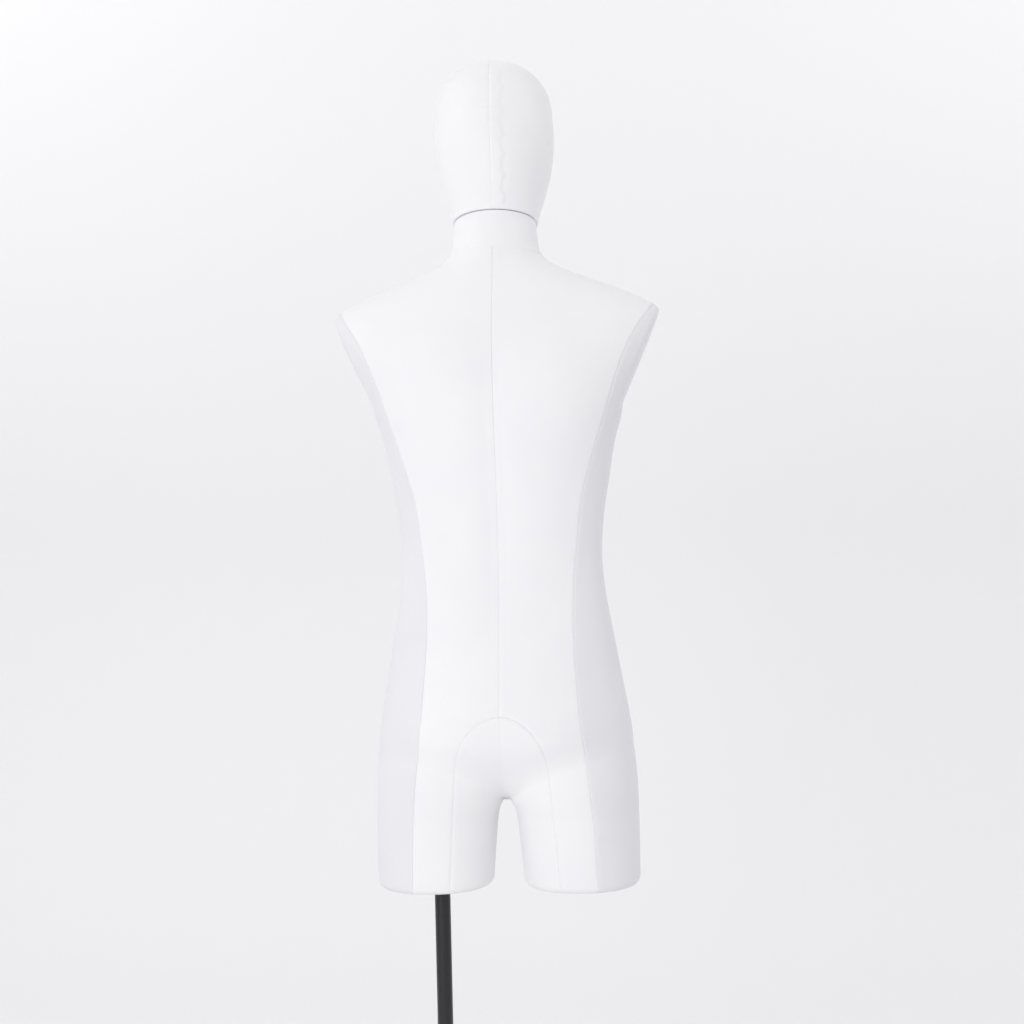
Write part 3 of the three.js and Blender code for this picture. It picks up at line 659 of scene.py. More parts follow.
def facing_panel(side, way):
    """Back (way -1) or front (way 1) panel on one side. Below the armhole the rows are level: x runs
    from the inner boundary to the side seam. Above it they rise with the shoulder line."""
    corner = COLLAR_HALF / TIP_X
    fraction = np.union1d(spread(0, 1, 0.021, ("start", "end"), 0.006), corner * np.array([0.94, 0.98, 1]))
    top_x = fraction * TIP_X
    top_z = np.where(top_x < COLLAR_HALF, collar_z(top_x, way), ridge_z(np.maximum(top_x, COLLAR_HALF)))
    share = np.sin(spread(1, 0, 0.022, ("start",), 0.012) * math.pi / 2)[:, None]
    upper_z = 1400 + (top_z - 1400) * share
    side_z = 1400 + (TIP_Z - 1400) * share
    upper_x = fraction * side_x(side_z)
    upper_x[0] = top_x
    level = np.concatenate([
        spread(1400, ARCH_TOP, 3.0, ("end",), 0.12, 1.5)[1:],
        spread(ARCH_TOP, LEG_END + LEG_RIM, 2.6, ("start",), 0.12, 1.5)[1:],
    ])
    inner = arch_x(level)[:, None]
    lower_x = inner + fraction * (side_x(level)[:, None] - inner)
    lower_z = np.broadcast_to(level[:, None], lower_x.shape)
    x = np.concatenate([upper_x, lower_x])
    z = np.concatenate([upper_z, lower_z])
    points = depth_at(x, z, way)
    points[0, top_x >= COLLAR_HALF, 1] = 0
    points = round_the_rim(points)
    points[..., 0] *= side
    return points


def side_panel(side):
    """From the back seam round the flank to the front seam: rays in level planes from a line inside the
    flank, at angles between the two seam points."""
    level = np.concatenate([
        spread(TIP_Z - 0.3, 1400, 2.5, ("start",), 0.5), spread(1400, LEG_END + LEG_RIM, 3.2)[1:],
    ])
    seam = side_x(level)
    start_x = 0.6 * seam
    back = depth_at(seam, level, -1)[..., 1]
    front = depth_at(seam, level, 1)[..., 1]
    begin = np.arctan2(back, seam - start_x)[:, None]
    end = np.arctan2(front, seam - start_x)[:, None]
    angle = begin + (end - begin) * spread(0, 1, 0.02, ("start", "end"), 0.004)
    start = np.stack([np.broadcast_to(start_x[:, None], angle.shape), np.zeros_like(angle),
                      np.broadcast_to(level[:, None], angle.shape)], -1)
    direction = np.stack([np.cos(angle), np.sin(angle), np.zeros_like(angle)], -1)
    points = to_skin(start, direction)
    points[:, 0] = np.stack([seam, back, level], -1)
    points[:, -1] = np.stack([seam, front, level], -1)
    points = round_the_rim(points)
    points[..., 0] *= side
    return points


def gusset_panel(side):
    """Inner thigh and crotch on one side. The columns start on the thigh's lower edge and end on the
    centre seam, and their angle round the thigh's middle closes in as the outer seam does."""
    middle_x = 102.0
    steps = spread(-1, 1, 0.024, ("start", "end"), 0.006)
    low = LEG_END + LEG_RIM
    turn = np.concatenate([np.linspace(0, 0.985, 39), [0.992, 0.997, 1]]) * math.pi / 2
    arch = ARCH_SPRING + (ARCH_TOP - ARCH_SPRING) * np.sin(turn)
    height = np.concatenate([spread(low, ARCH_SPRING, 4, ("start",), 1.2)[:-1], arch])
    share = ((height - low) / (ARCH_TOP - low))[:, None]
    half_angles = []
    for way in (-1, 1):
        seam = depth_at(arch_x(height), height, way)
        half_angles.append(math.pi - np.abs(np.arctan2(seam[..., 1], seam[..., 0] - middle_x)))
    half = np.where(steps < 0, half_angles[0][:, None], half_angles[1][:, None])
    _, top_y, top_z = centre_curve(steps).T
    share_top = np.arctan2(top_y, middle_x) / half[-1]
    angle = math.pi - half * (steps + (share_top - steps) * share ** 2)
    z = low + share * (top_z - low)
    start = np.stack([np.full_like(z, middle_x), np.zeros_like(z), z], -1)
    direction = np.stack([np.cos(angle), np.sin(angle), np.zeros_like(angle)], -1)
    to_centre = np.where(np.cos(angle) < -0.2, middle_x / np.maximum(-np.cos(angle), 0.2), 320)
    points = to_skin(start, direction, np.minimum(to_centre, 320))
    points[-1, :, 0] = 0
    points = round_the_rim(points[::-1])
    points[..., 0] *= side
    return points


def centre_curve(steps):
    """The centre seam under the body: rays in the middle plane, from straight back (step -1) through
    straight down (0) to straight ahead (1), start level with the arch's top."""
    turn = np.asarray(steps, float) * math.pi / 2
    start = np.zeros(turn.shape + (3,))
    start[..., 2] = ARCH_TOP
    return to_skin(start, np.stack([np.zeros_like(turn), np.sin(turn), -np.cos(turn)], -1))


NECK_ROUND = 1.1
HEM = 3.0


def neck_band():
    """Level rays from the neck's middle, between the collar plane and the plane of the head joint, then
    a small round inwards at the top edge."""
    angle = np.linspace(0, 2 * math.pi, 145)[:-1]
    rows = spread(0, 1, 0.04, ("start", "end"), 0.008)[:, None]
    y = np.zeros_like(angle) + rows * 0
    for _ in range(8):
        low = COLLAR_Z - math.tan(COLLAR_TILT) * y
        high = JOINT_Z - math.tan(NECK_TILT) * (y - JOINT_Y) - NECK_ROUND
        z = low + rows * (high - low)
        _, behind, front, _ = stations(TRUNK, z)
        middle = neck_middle(z, behind, front)
        start = np.stack([np.zeros_like(z), middle, z], -1)
        direction = np.stack(np.broadcast_arrays(np.cos(angle), np.sin(angle), np.zeros_like(z)), -1)
        points = to_skin(start, direction, 120)
        y = points[..., 1]
    edge = points[-1]
    centre = np.array([0, JOINT_Y, JOINT_Z - NECK_ROUND])
    inward = centre - edge
    inward[..., 2] = 0
    inward /= np.linalg.norm(inward, axis=-1, keepdims=True)
    up = np.array([0, math.sin(NECK_TILT), math.cos(NECK_TILT)])
    turns = [edge + inward * (NECK_ROUND * (1 - math.cos(t))) + up * (NECK_ROUND * math.sin(t))
             for t in np.radians([25, 50, 75, 90])]
    turns.append(turns[-1] + inward * 5)
    hem = points[:1] - outward(points[:1]) * COVER - [0, 0, HEM]
    return np.concatenate([hem, points, np.stack(turns)])


def cloth_uv(points):
    """Distances along the cloth: across, the running length of a row; down, that of a column."""
    across = np.linalg.norm(np.diff(points, axis=1), axis=-1)
    down = np.linalg.norm(np.diff(points, axis=0), axis=-1)
    u = np.concatenate([np.zeros((len(points), 1)), np.cumsum(across, axis=1)], axis=1)
    v = np.concatenate([np.zeros((1, points.shape[1])), np.cumsum(down, axis=0)], axis=0)
    return np.stack([u - u[:, [u.shape[1] // 2]], np.broadcast_to(v.mean(axis=1)[:, None], u.shape)], -1)


# %% Seam lines as points
def seam_points():
    """Every seam of the body as one cloud of points, 1.5 mm apart, on the right half; the left half
    mirrors it."""
    lines = []
    level = np.arange(LEG_END + LEG_RIM, TIP_Z, 1.5)
    for way in (-1, 1):
        lines.append(depth_at(side_x(level), level, way))
        centre = np.arange(ARCH_TOP, COLLAR_Z + 6, 1.5)
        lines.append(depth_at(np.zeros_like(centre), centre, way))
        turn = np.linspace(0, math.pi / 2, 120)
        arch = ARCH_SPRING + (ARCH_TOP - ARCH_SPRING) * np.sin(turn)
        lines.append(depth_at(arch_x(arch), arch, way))
        leg = np.arange(LEG_END + LEG_RIM, ARCH_SPRING, 1.5)
        lines.append(depth_at(arch_x(leg), leg, way))
    over = np.arange(COLLAR_HALF, TIP_X, 1.5)
    lines.append(np.stack([over, np.zeros_like(over), ridge_z(over)], -1))
    return np.concatenate(lines)


def collar_points():
    """The collar seam, from the neck band's first row."""
    return neck_band()[1]


def distance_to(points, cloud, share=4000):
    """Distance from each point to the nearest of a cloud, in blocks."""
    flat = points.reshape(-1, 3)
    best = np.empty(len(flat))
    for begin in range(0, len(flat), share):
        block = flat[begin:begin + share]
        gap = (np.sum(block ** 2, 1)[:, None] + np.sum(cloud ** 2, 1)[None] - 2 * block @ cloud.T)
        best[begin:begin + share] = np.sqrt(np.maximum(gap.min(axis=1), 0))
    return best.reshape(points.shape[:-1])


body_seams = seam_points()
body_seams = np.concatenate([body_seams, body_seams * [-1, 1, 1]])
collar_seam = collar_points()
arch_tip = depth_at(0.0, ARCH_TOP, -1)
print(len(body_seams), "points along the seams")


GROOVE_DEEP, GROOVE_WIDE = 0.5, 1.1
LIFT_HIGH, LIFT_FROM, LIFT_WIDE = 0.25, 5.0, 2.6
FOLD_HIGH, FOLD_FROM, FOLD_WIDE = 0.7, 1.2, 1.3
STITCH_DEEP, STITCH_WIDE = 0.9, 1.3
PUCKER_HIGH, TIGHT_HIGH, PUCKER_REACH = 0.12, 0.35, 9.0
TIGHT_PLACE, TIGHT_WIDE = [-22, 0, -6], 14


def press_seams(points, normal):
    """A groove along every seam, half as deep at the centre, a lift over the allowances beside it, and
    small puckers that fade away from it. The collar's seam is turned up instead, so a narrow fold stands
    out under its groove. The last stitch at the arch's tip is pulled tight."""
    x, _, z = np.moveaxis(points, -1, 0)
    gap = distance_to(points, body_seams)
    at_side = 0.5 + 0.5 * smooth(np.abs(x) / 20)
    groove = -GROOVE_DEEP * at_side * np.exp(-(gap / GROOVE_WIDE) ** 2)
    lift = LIFT_HIGH * bump(gap, LIFT_FROM, LIFT_WIDE)
    to_collar = distance_to(points, collar_seam)
    fold = FOLD_HIGH * bump(to_collar, FOLD_FROM, FOLD_WIDE) * smooth((COLLAR_Z + 12 - z) / 6)
    to_tip = np.linalg.norm(points - arch_tip, axis=-1)
    stitch = -STITCH_DEEP * np.exp(-(to_tip / STITCH_WIDE) ** 2)
    tight = TIGHT_HIGH * bump(np.linalg.norm(points - arch_tip - TIGHT_PLACE, axis=-1), 0, TIGHT_WIDE)
    wave = np.sin(z * 0.55 + 2.1 * np.sin(z * 0.071)) * np.sin(z * 0.113 + x * 0.05)
    pucker = (PUCKER_HIGH + tight) * wave * np.exp(-gap / PUCKER_REACH)
    return points + normal * (groove + lift + pucker + fold + stitch)[..., None]


# %% Make the body's cover
def cover_piece(name, points, node_name, material=jersey):
    """A panel of cover: seams pressed in, moved to the body's place, walled and finished."""
    normal = outward(points)
    skin = press_seams(points, normal)
    skin[..., 0] += BODY_X
    piece = grid_mesh(name, skin, normal, uv=cloth_uv(points), close_columns=node_name == "neck_band")
    add_wall(piece, COVER)
    return finish_piece(piece, "torso", material, "cover_fabric", node_name)


cover = {}
for side, hand in ((-1, "left"), (1, "right")):
    for way, face in ((-1, "back"), (1, "front")):
        cover[f"{face}_{hand}"] = cover_piece(f"{face}_{hand}_cover", facing_panel(side, way),
                                              f"{face}_panel_{hand}")
    # The side panels wear the darker jersey, which is painted shade on the flanks.
    cover[f"side_{hand}"] = cover_piece(f"side_{hand}_cover", side_panel(side), f"side_panel_{hand}",
                                        shaded_side_jersey)
    cover[f"gusset_{hand}"] = cover_piece(f"gusset_{hand}_cover", gusset_panel(side), f"gusset_{hand}")
cover["neck"] = cover_piece("neck_band_cover", neck_band(), "neck_band")
for name, piece in cover.items():
    print(name, len(piece.data.polygons), "faces")

# %% [markdown]
# ## The moulded shells
#
# Under the cloth is a laminate shell. A solid with few facets would poke through the cloth wherever the
# back is hollow, so the shell is made again from the same grids as the cloth, drawn in by the cloth and a
# little air, and given a wall. It is one moulding, so its grids are joined into one piece.

# %% Torso shell
SHELL_INSET = 2.5
SHELL_WALL = 4.0


def make_shell(name, body, node_name, grids):
    """One piece from grids with their outward directions, every second row and column kept."""
    parts = []
    for points, normal, closed in grids:
        rows = np.unique(np.append(np.arange(0, len(points), 2), len(points) - 1))
        columns = np.unique(np.append(np.arange(0, points.shape[1], 2), points.shape[1] - 1))
        if closed:
            columns = np.arange(0, points.shape[1], 2)
        keep = np.ix_(rows, columns)
        inner = points[keep] - normal[keep] * SHELL_INSET
        inner[..., 0] += BODY_X
        parts.append(grid_mesh(name, inner, normal[keep], close_columns=closed))
    work = bmesh.new()
    for part in parts:
        work.from_mesh(part.data)
        bpy.data.objects.remove(part)
    bmesh.ops.remove_doubles(work, verts=work.verts, dist=2e-5)
    mesh = bpy.data.meshes.new(name)
    work.to_mesh(mesh)
    work.free()
    mesh.polygons.foreach_set("use_smooth", np.ones(len(mesh.polygons), bool))
    shell = bpy.data.objects.new(name, mesh)
    bpy.context.scene.collection.objects.link(shell)
    add_wall(shell, SHELL_WALL)
    return finish_piece(shell, body, laminate, "moulded_shell", node_name)


def without_rim(points):
    """A grid of the thigh without the rows of its turned-in edge."""
    return points[:-len(RIM_TURNS) - 1]


body_grids = [(neck_band()[:-9], True)]
for side in (-1, 1):
    body_grids += [(without_rim(facing_panel(side, way)), False) for way in (-1, 1)]
    body_grids += [(without_rim(side_panel(side)), False), (without_rim(gusset_panel(side)), False)]
torso_shell = make_shell("torso_moulding", "torso", "torso_shell",
                         [(points, outward(points), closed) for points, closed in body_grids])
print("torso shell:", len(torso_shell.data.polygons), "faces")

# %% [markdown]
# ## The head
#
# The head is a plain egg, wider at the back than at the chin, on a joint that leans forward with the neck.
# Its cover has a left and a right half, closed over the top from chin to nape. The
# rows are level in the joint's own leaning frame, and the crown is a true ellipse, so it closes without a
# point.

# %% Head cover
UP = np.array([0, math.sin(NECK_TILT), math.cos(NECK_TILT)])
AHEAD = np.array([0, math.cos(NECK_TILT), -math.sin(NECK_TILT)])
RIGHT = np.array([1.0, 0, 0])
CROWN = 160
HEAD_GAP = 0.6
RIM_ROUND = 1.3
RIM_ROWS = 5


def lean(across, ahead, up):
    """A point of the joint's leaning frame, in the body's frame."""
    base = np.array([0, JOINT_Y, JOINT_Z])
    return (base + across[..., None] * RIGHT + ahead[..., None] * AHEAD + up[..., None] * UP)


def head_section(up, angle):
    """Half widths from the table below the crown; above it both shrink as the cosine of an arc whose
    sine is the height, and the middle moves back."""
    climb = np.clip((up - CROWN) / (HEAD_TOP - CROWN), 0, 1)
    half_width, behind, front = stations(HEAD, np.minimum(up, CROWN))
    closing = np.sqrt(1 - climb ** 2)
    middle = (front - behind) / 2 - 10 * climb
    radius = oval(angle, half_width, (front + behind) / 2, (front + behind) / 2, 2.08) * closing
    return radius * np.cos(angle), middle + radius * np.sin(angle)


def head_half(side):
    """One half of the head's cover, from the seam behind to the seam in front, and from the rim up."""
    angle = np.radians(spread(-90, 90, 1.5, ("start", "end"), 0.3))
    rise = np.concatenate([
        spread(HEAD_GAP + RIM_ROUND, CROWN, 2.6, ("start",), 0.6)[:-1],
        CROWN + (HEAD_TOP - CROWN) * np.sin(np.linspace(0, math.pi / 2, 46)),
    ])
    up, around = np.meshgrid(rise, angle, indexing="ij")
    across, ahead = head_section(up, around)
    points = lean(side * across, ahead, up)
    rim = points[0]
    inward = lean(np.zeros_like(across[0]), np.zeros_like(ahead[0]), up[0]) - rim
    inward /= np.linalg.norm(inward, axis=-1, keepdims=True)
    rolled = [rim + inward * (RIM_ROUND * (1 - math.cos(t))) - UP * (RIM_ROUND * math.sin(t))
              for t in np.radians([90, 68, 45, 22])]
    return np.concatenate([np.stack([rolled[0] + inward * 5.0]), np.stack(rolled), points])


CROWN_FROM, CROWN_OVER = 1822, 16
PEAK_HIGH, PEAK_REACH, PEAK_FROM, PEAK_OVER = 2.2, 8, 1838, 18
STRIP_HIGH, STRIP_WIDE = 1.5, 17
HEAD_GROOVE, CROWN_GROOVE, HEAD_GROOVE_WIDE = 0.25, 0.5, 1.2
GATHER_TOP, GATHER_MIDDLE, GATHER_ALL = 1.7, 0.9, 0.15


def head_press(points):
    """The centre seam's groove, deeper at the crown and drawn up to a slight peak there; a strip of
    allowance to the right of it behind, with a ragged edge; gathers on the left under the crown; and
    puckers where the seam was closed by hand. All of it fades out above the rim."""
    x, y, z = np.moveaxis(points, -1, 0)
    behind = smooth((JOINT_Y + 20 - y) / 30)
    crown = smooth((z - CROWN_FROM) / CROWN_OVER)
    gap = np.abs(x)
    groove = -(HEAD_GROOVE + CROWN_GROOVE * crown) * np.exp(-(gap / HEAD_GROOVE_WIDE) ** 2)
    lift = 0.2 * bump(gap, 4.5, 2.4)
    peak = PEAK_HIGH * np.exp(-gap / PEAK_REACH) * smooth((z - PEAK_FROM) / PEAK_OVER)
    edge = STRIP_WIDE + 2.2 * np.sin(z * 0.21) + 1.3 * np.sin(z * 0.47 + 1.0)
    strip = STRIP_HIGH * smooth(x / 3) * smooth((edge - x) / 2.2) * behind * (1 - crown)
    wave = np.sin(z * 0.62 + 1.7 * np.sin(z * 0.09)) * np.sin(z * 0.17 + 0.6)
    gather = (GATHER_TOP * bump(z, 1826, 16) * smooth(-x / 2) + GATHER_MIDDLE * bump(z, 1765, 34)
              + GATHER_ALL)
    pucker = gather * wave * np.exp(-gap / 10) * behind
    above_rim = smooth(((points - [0, JOINT_Y, JOINT_Z]) @ UP - 2) / 10)
    return (groove + lift + peak + strip + pucker) * above_rim


def head_outward(points):
    """Normals from the grid's own rows and columns."""
    down = np.gradient(points, axis=0)
    along = np.gradient(points, axis=1)
    normal = np.cross(down, along)
    size = np.linalg.norm(normal, axis=-1, keepdims=True)
    normal = normal / np.maximum(size, 1e-9)
    away = points - np.array([0, JOINT_Y + 22.0, JOINT_Z + 110.0])
    normal *= np.sign(np.sum(normal * away))
    return normal


def make_head_cover():
    """Both halves, pressed at their seam."""
    halves = []
    for side, hand in ((-1, "left"), (1, "right")):
        points = head_half(side)
        normal = head_outward(points)
        normal[-1] = UP
        seam = np.abs(points[..., 0]) < 1e-3
        normal[..., 0] = np.where(seam, 0, normal[..., 0])
        skin = points + normal * head_press(points)[..., None]
        skin[..., 0] += BODY_X
        piece = grid_mesh(f"head_{hand}_cover", skin, normal, uv=cloth_uv(points))
        add_wall(piece, COVER)
        finish_piece(piece, "head", jersey, "cover_fabric", f"head_cover_{hand}")
        halves.append(piece)
    return halves


def make_head_shell():
    """The egg under the cloth, from the same halves without their turned-in rim."""
    grids = []
    for side in (-1, 1):
        points = head_half(side)[RIM_ROWS + 3:]
        normal = head_outward(points)
        normal[-1] = UP
        grids.append((points, normal, False))
    return make_shell("head_moulding", "head", "head_shell", grids)


head_cover = make_head_cover()
make_head_shell()
print("head halves:", [len(half.data.polygons) for half in head_cover])

# %% [markdown]
# ## Turned parts
#
# Tubes, plates, bushes and screws are profiles carried round an axis. A real turned edge is never sharp,
# so each corner of a profile is replaced with a short arc before it is carried round.

# %% Profile round an axis
def rounded(profile, radius, bits=4):
    """Each inner corner of a polyline becomes an arc: a quadratic curve between points a radius away
    along both sides."""
    profile = [np.array(p, float) for p in profile]
    points = [profile[0]]
    for before, corner, after in zip(profile, profile[1:], profile[2:]):
        into, out = corner - before, after - corner
        cut = min(radius, np.linalg.norm(into) * 0.45, np.linalg.norm(out) * 0.45)
        start = corner - into / max(np.linalg.norm(into), 1e-9) * cut
        end = corner + out / max(np.linalg.norm(out), 1e-9) * cut
        for t in np.linspace(0, 1, bits):
            points.append((1 - t) ** 2 * start + 2 * t * (1 - t) * corner + t * t * end)
    points.append(profile[-1])
    return np.array(points)


def turn(name, profile, radius=0.6, sides=72, place=(0, 0, 0), up=(0, 0, 1), across=(1, 0, 0)):
    """A profile of (radius, height) carried round an axis: place + r cos t across + r sin t beside + h up."""
    line = rounded(profile, radius) if radius else np.array(profile, float)
    up, across, place = (np.array(v, float) for v in (up, across, place))
    beside = np.cross(up, across)
    angle = np.linspace(0, 2 * math.pi, sides + 1)[:-1]
    ring = np.cos(angle)[:, None] * across + np.sin(angle)[:, None] * beside
    points = place + line[:, 0, None, None] * ring + line[:, 1, None, None] * up
    along = np.gradient(line, axis=0)
    outside = along[:, 1, None, None] * ring - along[:, 0, None, None] * up
    closed = np.allclose(line[0], line[-1])
    if closed:
        area = np.sum(line[:-1, 0] * line[1:, 1] - line[1:, 0] * line[:-1, 1])
        outside = outside * np.sign(area)
    elif line[-1, 1] < line[0, 1]:
        outside = -outside
    return grid_mesh(name, points, outside, close_columns=True)


POLE_R, TUBE_R, TUBE_BORE = 11.0, 15.0, 13.0


def tube(low, high, outer, inner):
    """Closed profile of a tube, counter-clockwise."""
    return [[inner, low], [outer, low], [outer, high], [inner, high], [inner, low]]


# %% Pole and stand
stand_z = dict(tube_top=tube_high[2], base_top=plate_high[2], base_low=plate_low[2])
base_r = (plate_high[0] - plate_low[0]) / 2
collar_low, collar_high = (corner[2] for corner in box_mm("clamp_collar"))
stud_z = (box_mm("clamp_stud")[0][2] + box_mm("clamp_stud")[1][2]) / 2


def make_pole():
    """The pole, a 22 mm tube with a slightly rounded end."""
    profile = tube(pole_low[2], pole_high[2], POLE_R, POLE_R - 2)
    return finish_piece(turn("height_pole", profile, 0.5), "mast", powder_coat, "black_steel", "pole")


def make_outer_tube():
    """The outer tube, with a fillet of weld where it meets the base."""
    foot = stand_z["base_top"] + 0.4
    profile = [[TUBE_BORE, foot], [TUBE_R + 3.2, foot], [TUBE_R + 1.2, foot + 1.2], [TUBE_R, foot + 3.4],
               [TUBE_R, stand_z["tube_top"]], [TUBE_BORE, stand_z["tube_top"]], [TUBE_BORE, foot]]
    return finish_piece(turn("stand_tube", profile, 0.5), "stand", powder_coat, "black_steel", "outer_tube")


def make_base():
    """The base: a laser-cut disc with its upper edge rolled over."""
    low, top = stand_z["base_low"], stand_z["base_top"]
    profile = [[5.6, low + 5], [16, low + 5], [16, low], [base_r - 1, low], [base_r, low + 1],
               [base_r, top - 3], [base_r - 1, top - 0.9], [base_r - 3.2, top], [5.6, top], [5.6, low + 5]]
    plate = turn("round_base", profile, 0.8, 160)
    finish_piece(plate, "stand", powder_coat, "black_steel", "base_plate")
    felt_low, felt_high = box_mm("base_felt")
    felt_r = (felt_high[0] - felt_low[0]) / 2
    pad = turn("base_pad", [[0, felt_low[2]], [felt_r, felt_low[2]], [felt_r, felt_high[2]],
                            [0, felt_high[2]]], 0.8, 160)
    return finish_piece(pad, "stand", charcoal_felt, "base_felt", "base_felt")


COLLAR_R, WAIST_HALF, WAIST_DEEP = 23.0, 7, 0.8


def make_bushes():
    """The guide bush in the tube's top and the clamp collar over it, with the collar's grooved waist."""
    low, high = (corner[2] for corner in box_mm("guide_bush"))
    top = stand_z["tube_top"]
    profile = [[POLE_R + 0.4, low], [TUBE_BORE - 0.3, low], [TUBE_BORE - 0.3, top + 0.4],
               [TUBE_R - 0.2, top + 0.4], [TUBE_R - 0.2, high], [POLE_R + 0.4, high], [POLE_R + 0.4, low]]
    finish_piece(turn("pole_guide", profile, 0.3, 64), "stand", nylon, "black_nylon", "guide_bush")
    r, waist = COLLAR_R, COLLAR_R - WAIST_DEEP
    line = [[TUBE_R + 0.3, collar_low], [r - 2, collar_low], [r, collar_low + 3],
            [r, stud_z - WAIST_HALF - 1], [waist, stud_z - WAIST_HALF],
            [waist, stud_z + WAIST_HALF], [r, stud_z + WAIST_HALF + 1],
            [r, collar_high - 4], [r - 3.5, collar_high], [POLE_R + 0.8, collar_high],
            [POLE_R + 0.8, high + 0.4], [TUBE_R + 0.3, high + 0.4], [TUBE_R + 0.3, collar_low]]
    return finish_piece(turn("tube_collar", line, 0.9, 96), "stand", nylon, "black_nylon", "clamp_collar")


KNOB_R, LOBE_DEEP, LOBES = 19, 2.2, 6


def make_knob():
    """The clamp knob: six lobes, r = R + d cos 6t, with a domed face, and the bright stud through it."""
    low, high = box_mm("clamp_knob")
    from_x, to_x = low[0], high[0]
    angle = np.linspace(0, 2 * math.pi, 145)[:-1]
    lobes = KNOB_R + LOBE_DEEP * np.cos(LOBES * angle)
    stops = [(0.0, 4.3, 0), (0.0, 9.0, 0), (0.06, 9.6, 0), (0.2, 9.6, 0), (0.26, 0.93, 1), (0.33, 1.0, 1),
             (0.85, 1.0, 1), (0.94, 0.95, 1), (0.985, 0.85, 1), (1.0, 0.6, 1), (0.98, 0.42, 1),
             (0.93, 4.3, 0), (0.0, 4.3, 0)]
    rows = []
    for share, size, lobed in stops:
        radius = lobes * size if lobed else np.full_like(lobes, size)
        rows.append(np.stack([np.full_like(angle, from_x + (to_x - from_x) * share),
                              radius * np.cos(angle), stud_z + radius * np.sin(angle)], -1))
    points = np.stack(rows)
    away = points - np.array([(from_x + to_x) / 2, 0, stud_z])
    knob = grid_mesh("clamp_grip", points, away, close_columns=True)
    soften = knob.modifiers.new("soften", "BEVEL")
    soften.width = 0.5 * MM
    soften.segments = 2
    soften.angle_limit = math.radians(35)
    finish_piece(knob, "knob", nylon, "black_nylon", "clamp_knob")
    low, high = box_mm("clamp_stud")
    stud = turn("grip_stud", [[0, low[0]], [4, low[0]], [4, high[0]], [0, high[0]]], 0.8, 40,
                place=(0, 0, stud_z), up=(1, 0, 0), across=(0, 0, 1))
    return finish_piece(stud, "knob", zinc, "zinc_steel", "clamp_stud")


make_pole()
make_outer_tube()
make_base()
make_bushes()
make_knob()
print("stand made, clamp at z", round(stud_z, 1))

# %% [markdown]
# ## Fittings that show when it is taken apart
#
# With the body lifted off, the nylon cap of the pole shows, and from below the board that closes each
# thigh, with the socket's flange and its screws. With the head lifted, the neck plate, its bush and the
# bright spigot show.

# %% Pole cap and socket
def make_cap():
    """The nylon plug on the pole's end, domed where the body rests."""
    low, high = (corner[2] for corner in box_mm("pole_cap"))
    rim = pole_high[2] + 0.4
    profile = [[0, low], [POLE_R - 3.4, low], [POLE_R - 2.4, low + 3], [POLE_R - 2.4, rim],
               [POLE_R - 0.2, rim], [POLE_R - 0.2, high - 3], [POLE_R - 4, high - 0.6], [0, high]]
    return finish_piece(turn("resting_cap", profile, 0.7, 64), "swivel", nylon, "black_nylon", "pole_cap")


def make_socket():
    """The socket: a flange with a rolled edge, and the closed tube above it."""
    low, high = box_mm("pole_socket")
    flange = 2.4
    profile = [[POLE_R + 0.5, low[2]], [38, low[2]], [38, low[2] + flange], [15, low[2] + flange],
               [15, high[2]], [0, high[2]]]
    inner = [[0, high[2] - 4], [POLE_R + 0.5, high[2] - 4], [POLE_R + 0.5, low[2]]]
    line = np.concatenate([rounded(profile, 0.6), rounded(inner, 0.6)])
    return finish_piece(turn("thigh_socket", line, 0, 96), "torso", zinc, "zinc_steel", "pole_socket")


def screw_head(name, node_name, body, head_r, shank_r, up, place, length, high):
    """A pan head with a cross recess: the head's dome dips by a bell along two crossed slots."""
    profile = [[0, -high], [head_r * 0.55, -high * 0.92], [head_r * 0.88, -high * 0.6],
               [head_r, 0], [shank_r, 0], [shank_r, length - shank_r], [0, length]]
    line = rounded(profile, 0.25, 3)
    up = np.array(up, float)
    across = np.array([1.0, 0, 0])
    beside = np.cross(up, across)
    angle = np.linspace(0, 2 * math.pi, 49)[:-1]
    radius = line[:, 0, None]
    height = np.broadcast_to(line[:, 1, None], (len(line), len(angle))).copy()
    dip = np.maximum(bump(radius * np.sin(angle), 0, 0.45), bump(radius * np.cos(angle), 0, 0.45))
    recess = dip * smooth((head_r * 0.6 - radius) / 0.8) * high * 0.55
    height = height + np.where(height < -high * 0.5, recess, 0)
    ring = np.cos(angle)[:, None] * across + np.sin(angle)[:, None] * beside
    points = np.array(place, float) + radius[..., None] * ring + height[..., None] * up
    outside = points - (np.array(place, float) + up * length * 0.3)
    piece = grid_mesh(name, points, outside, close_columns=True)
    return finish_piece(piece, body, zinc, "zinc_steel", node_name)


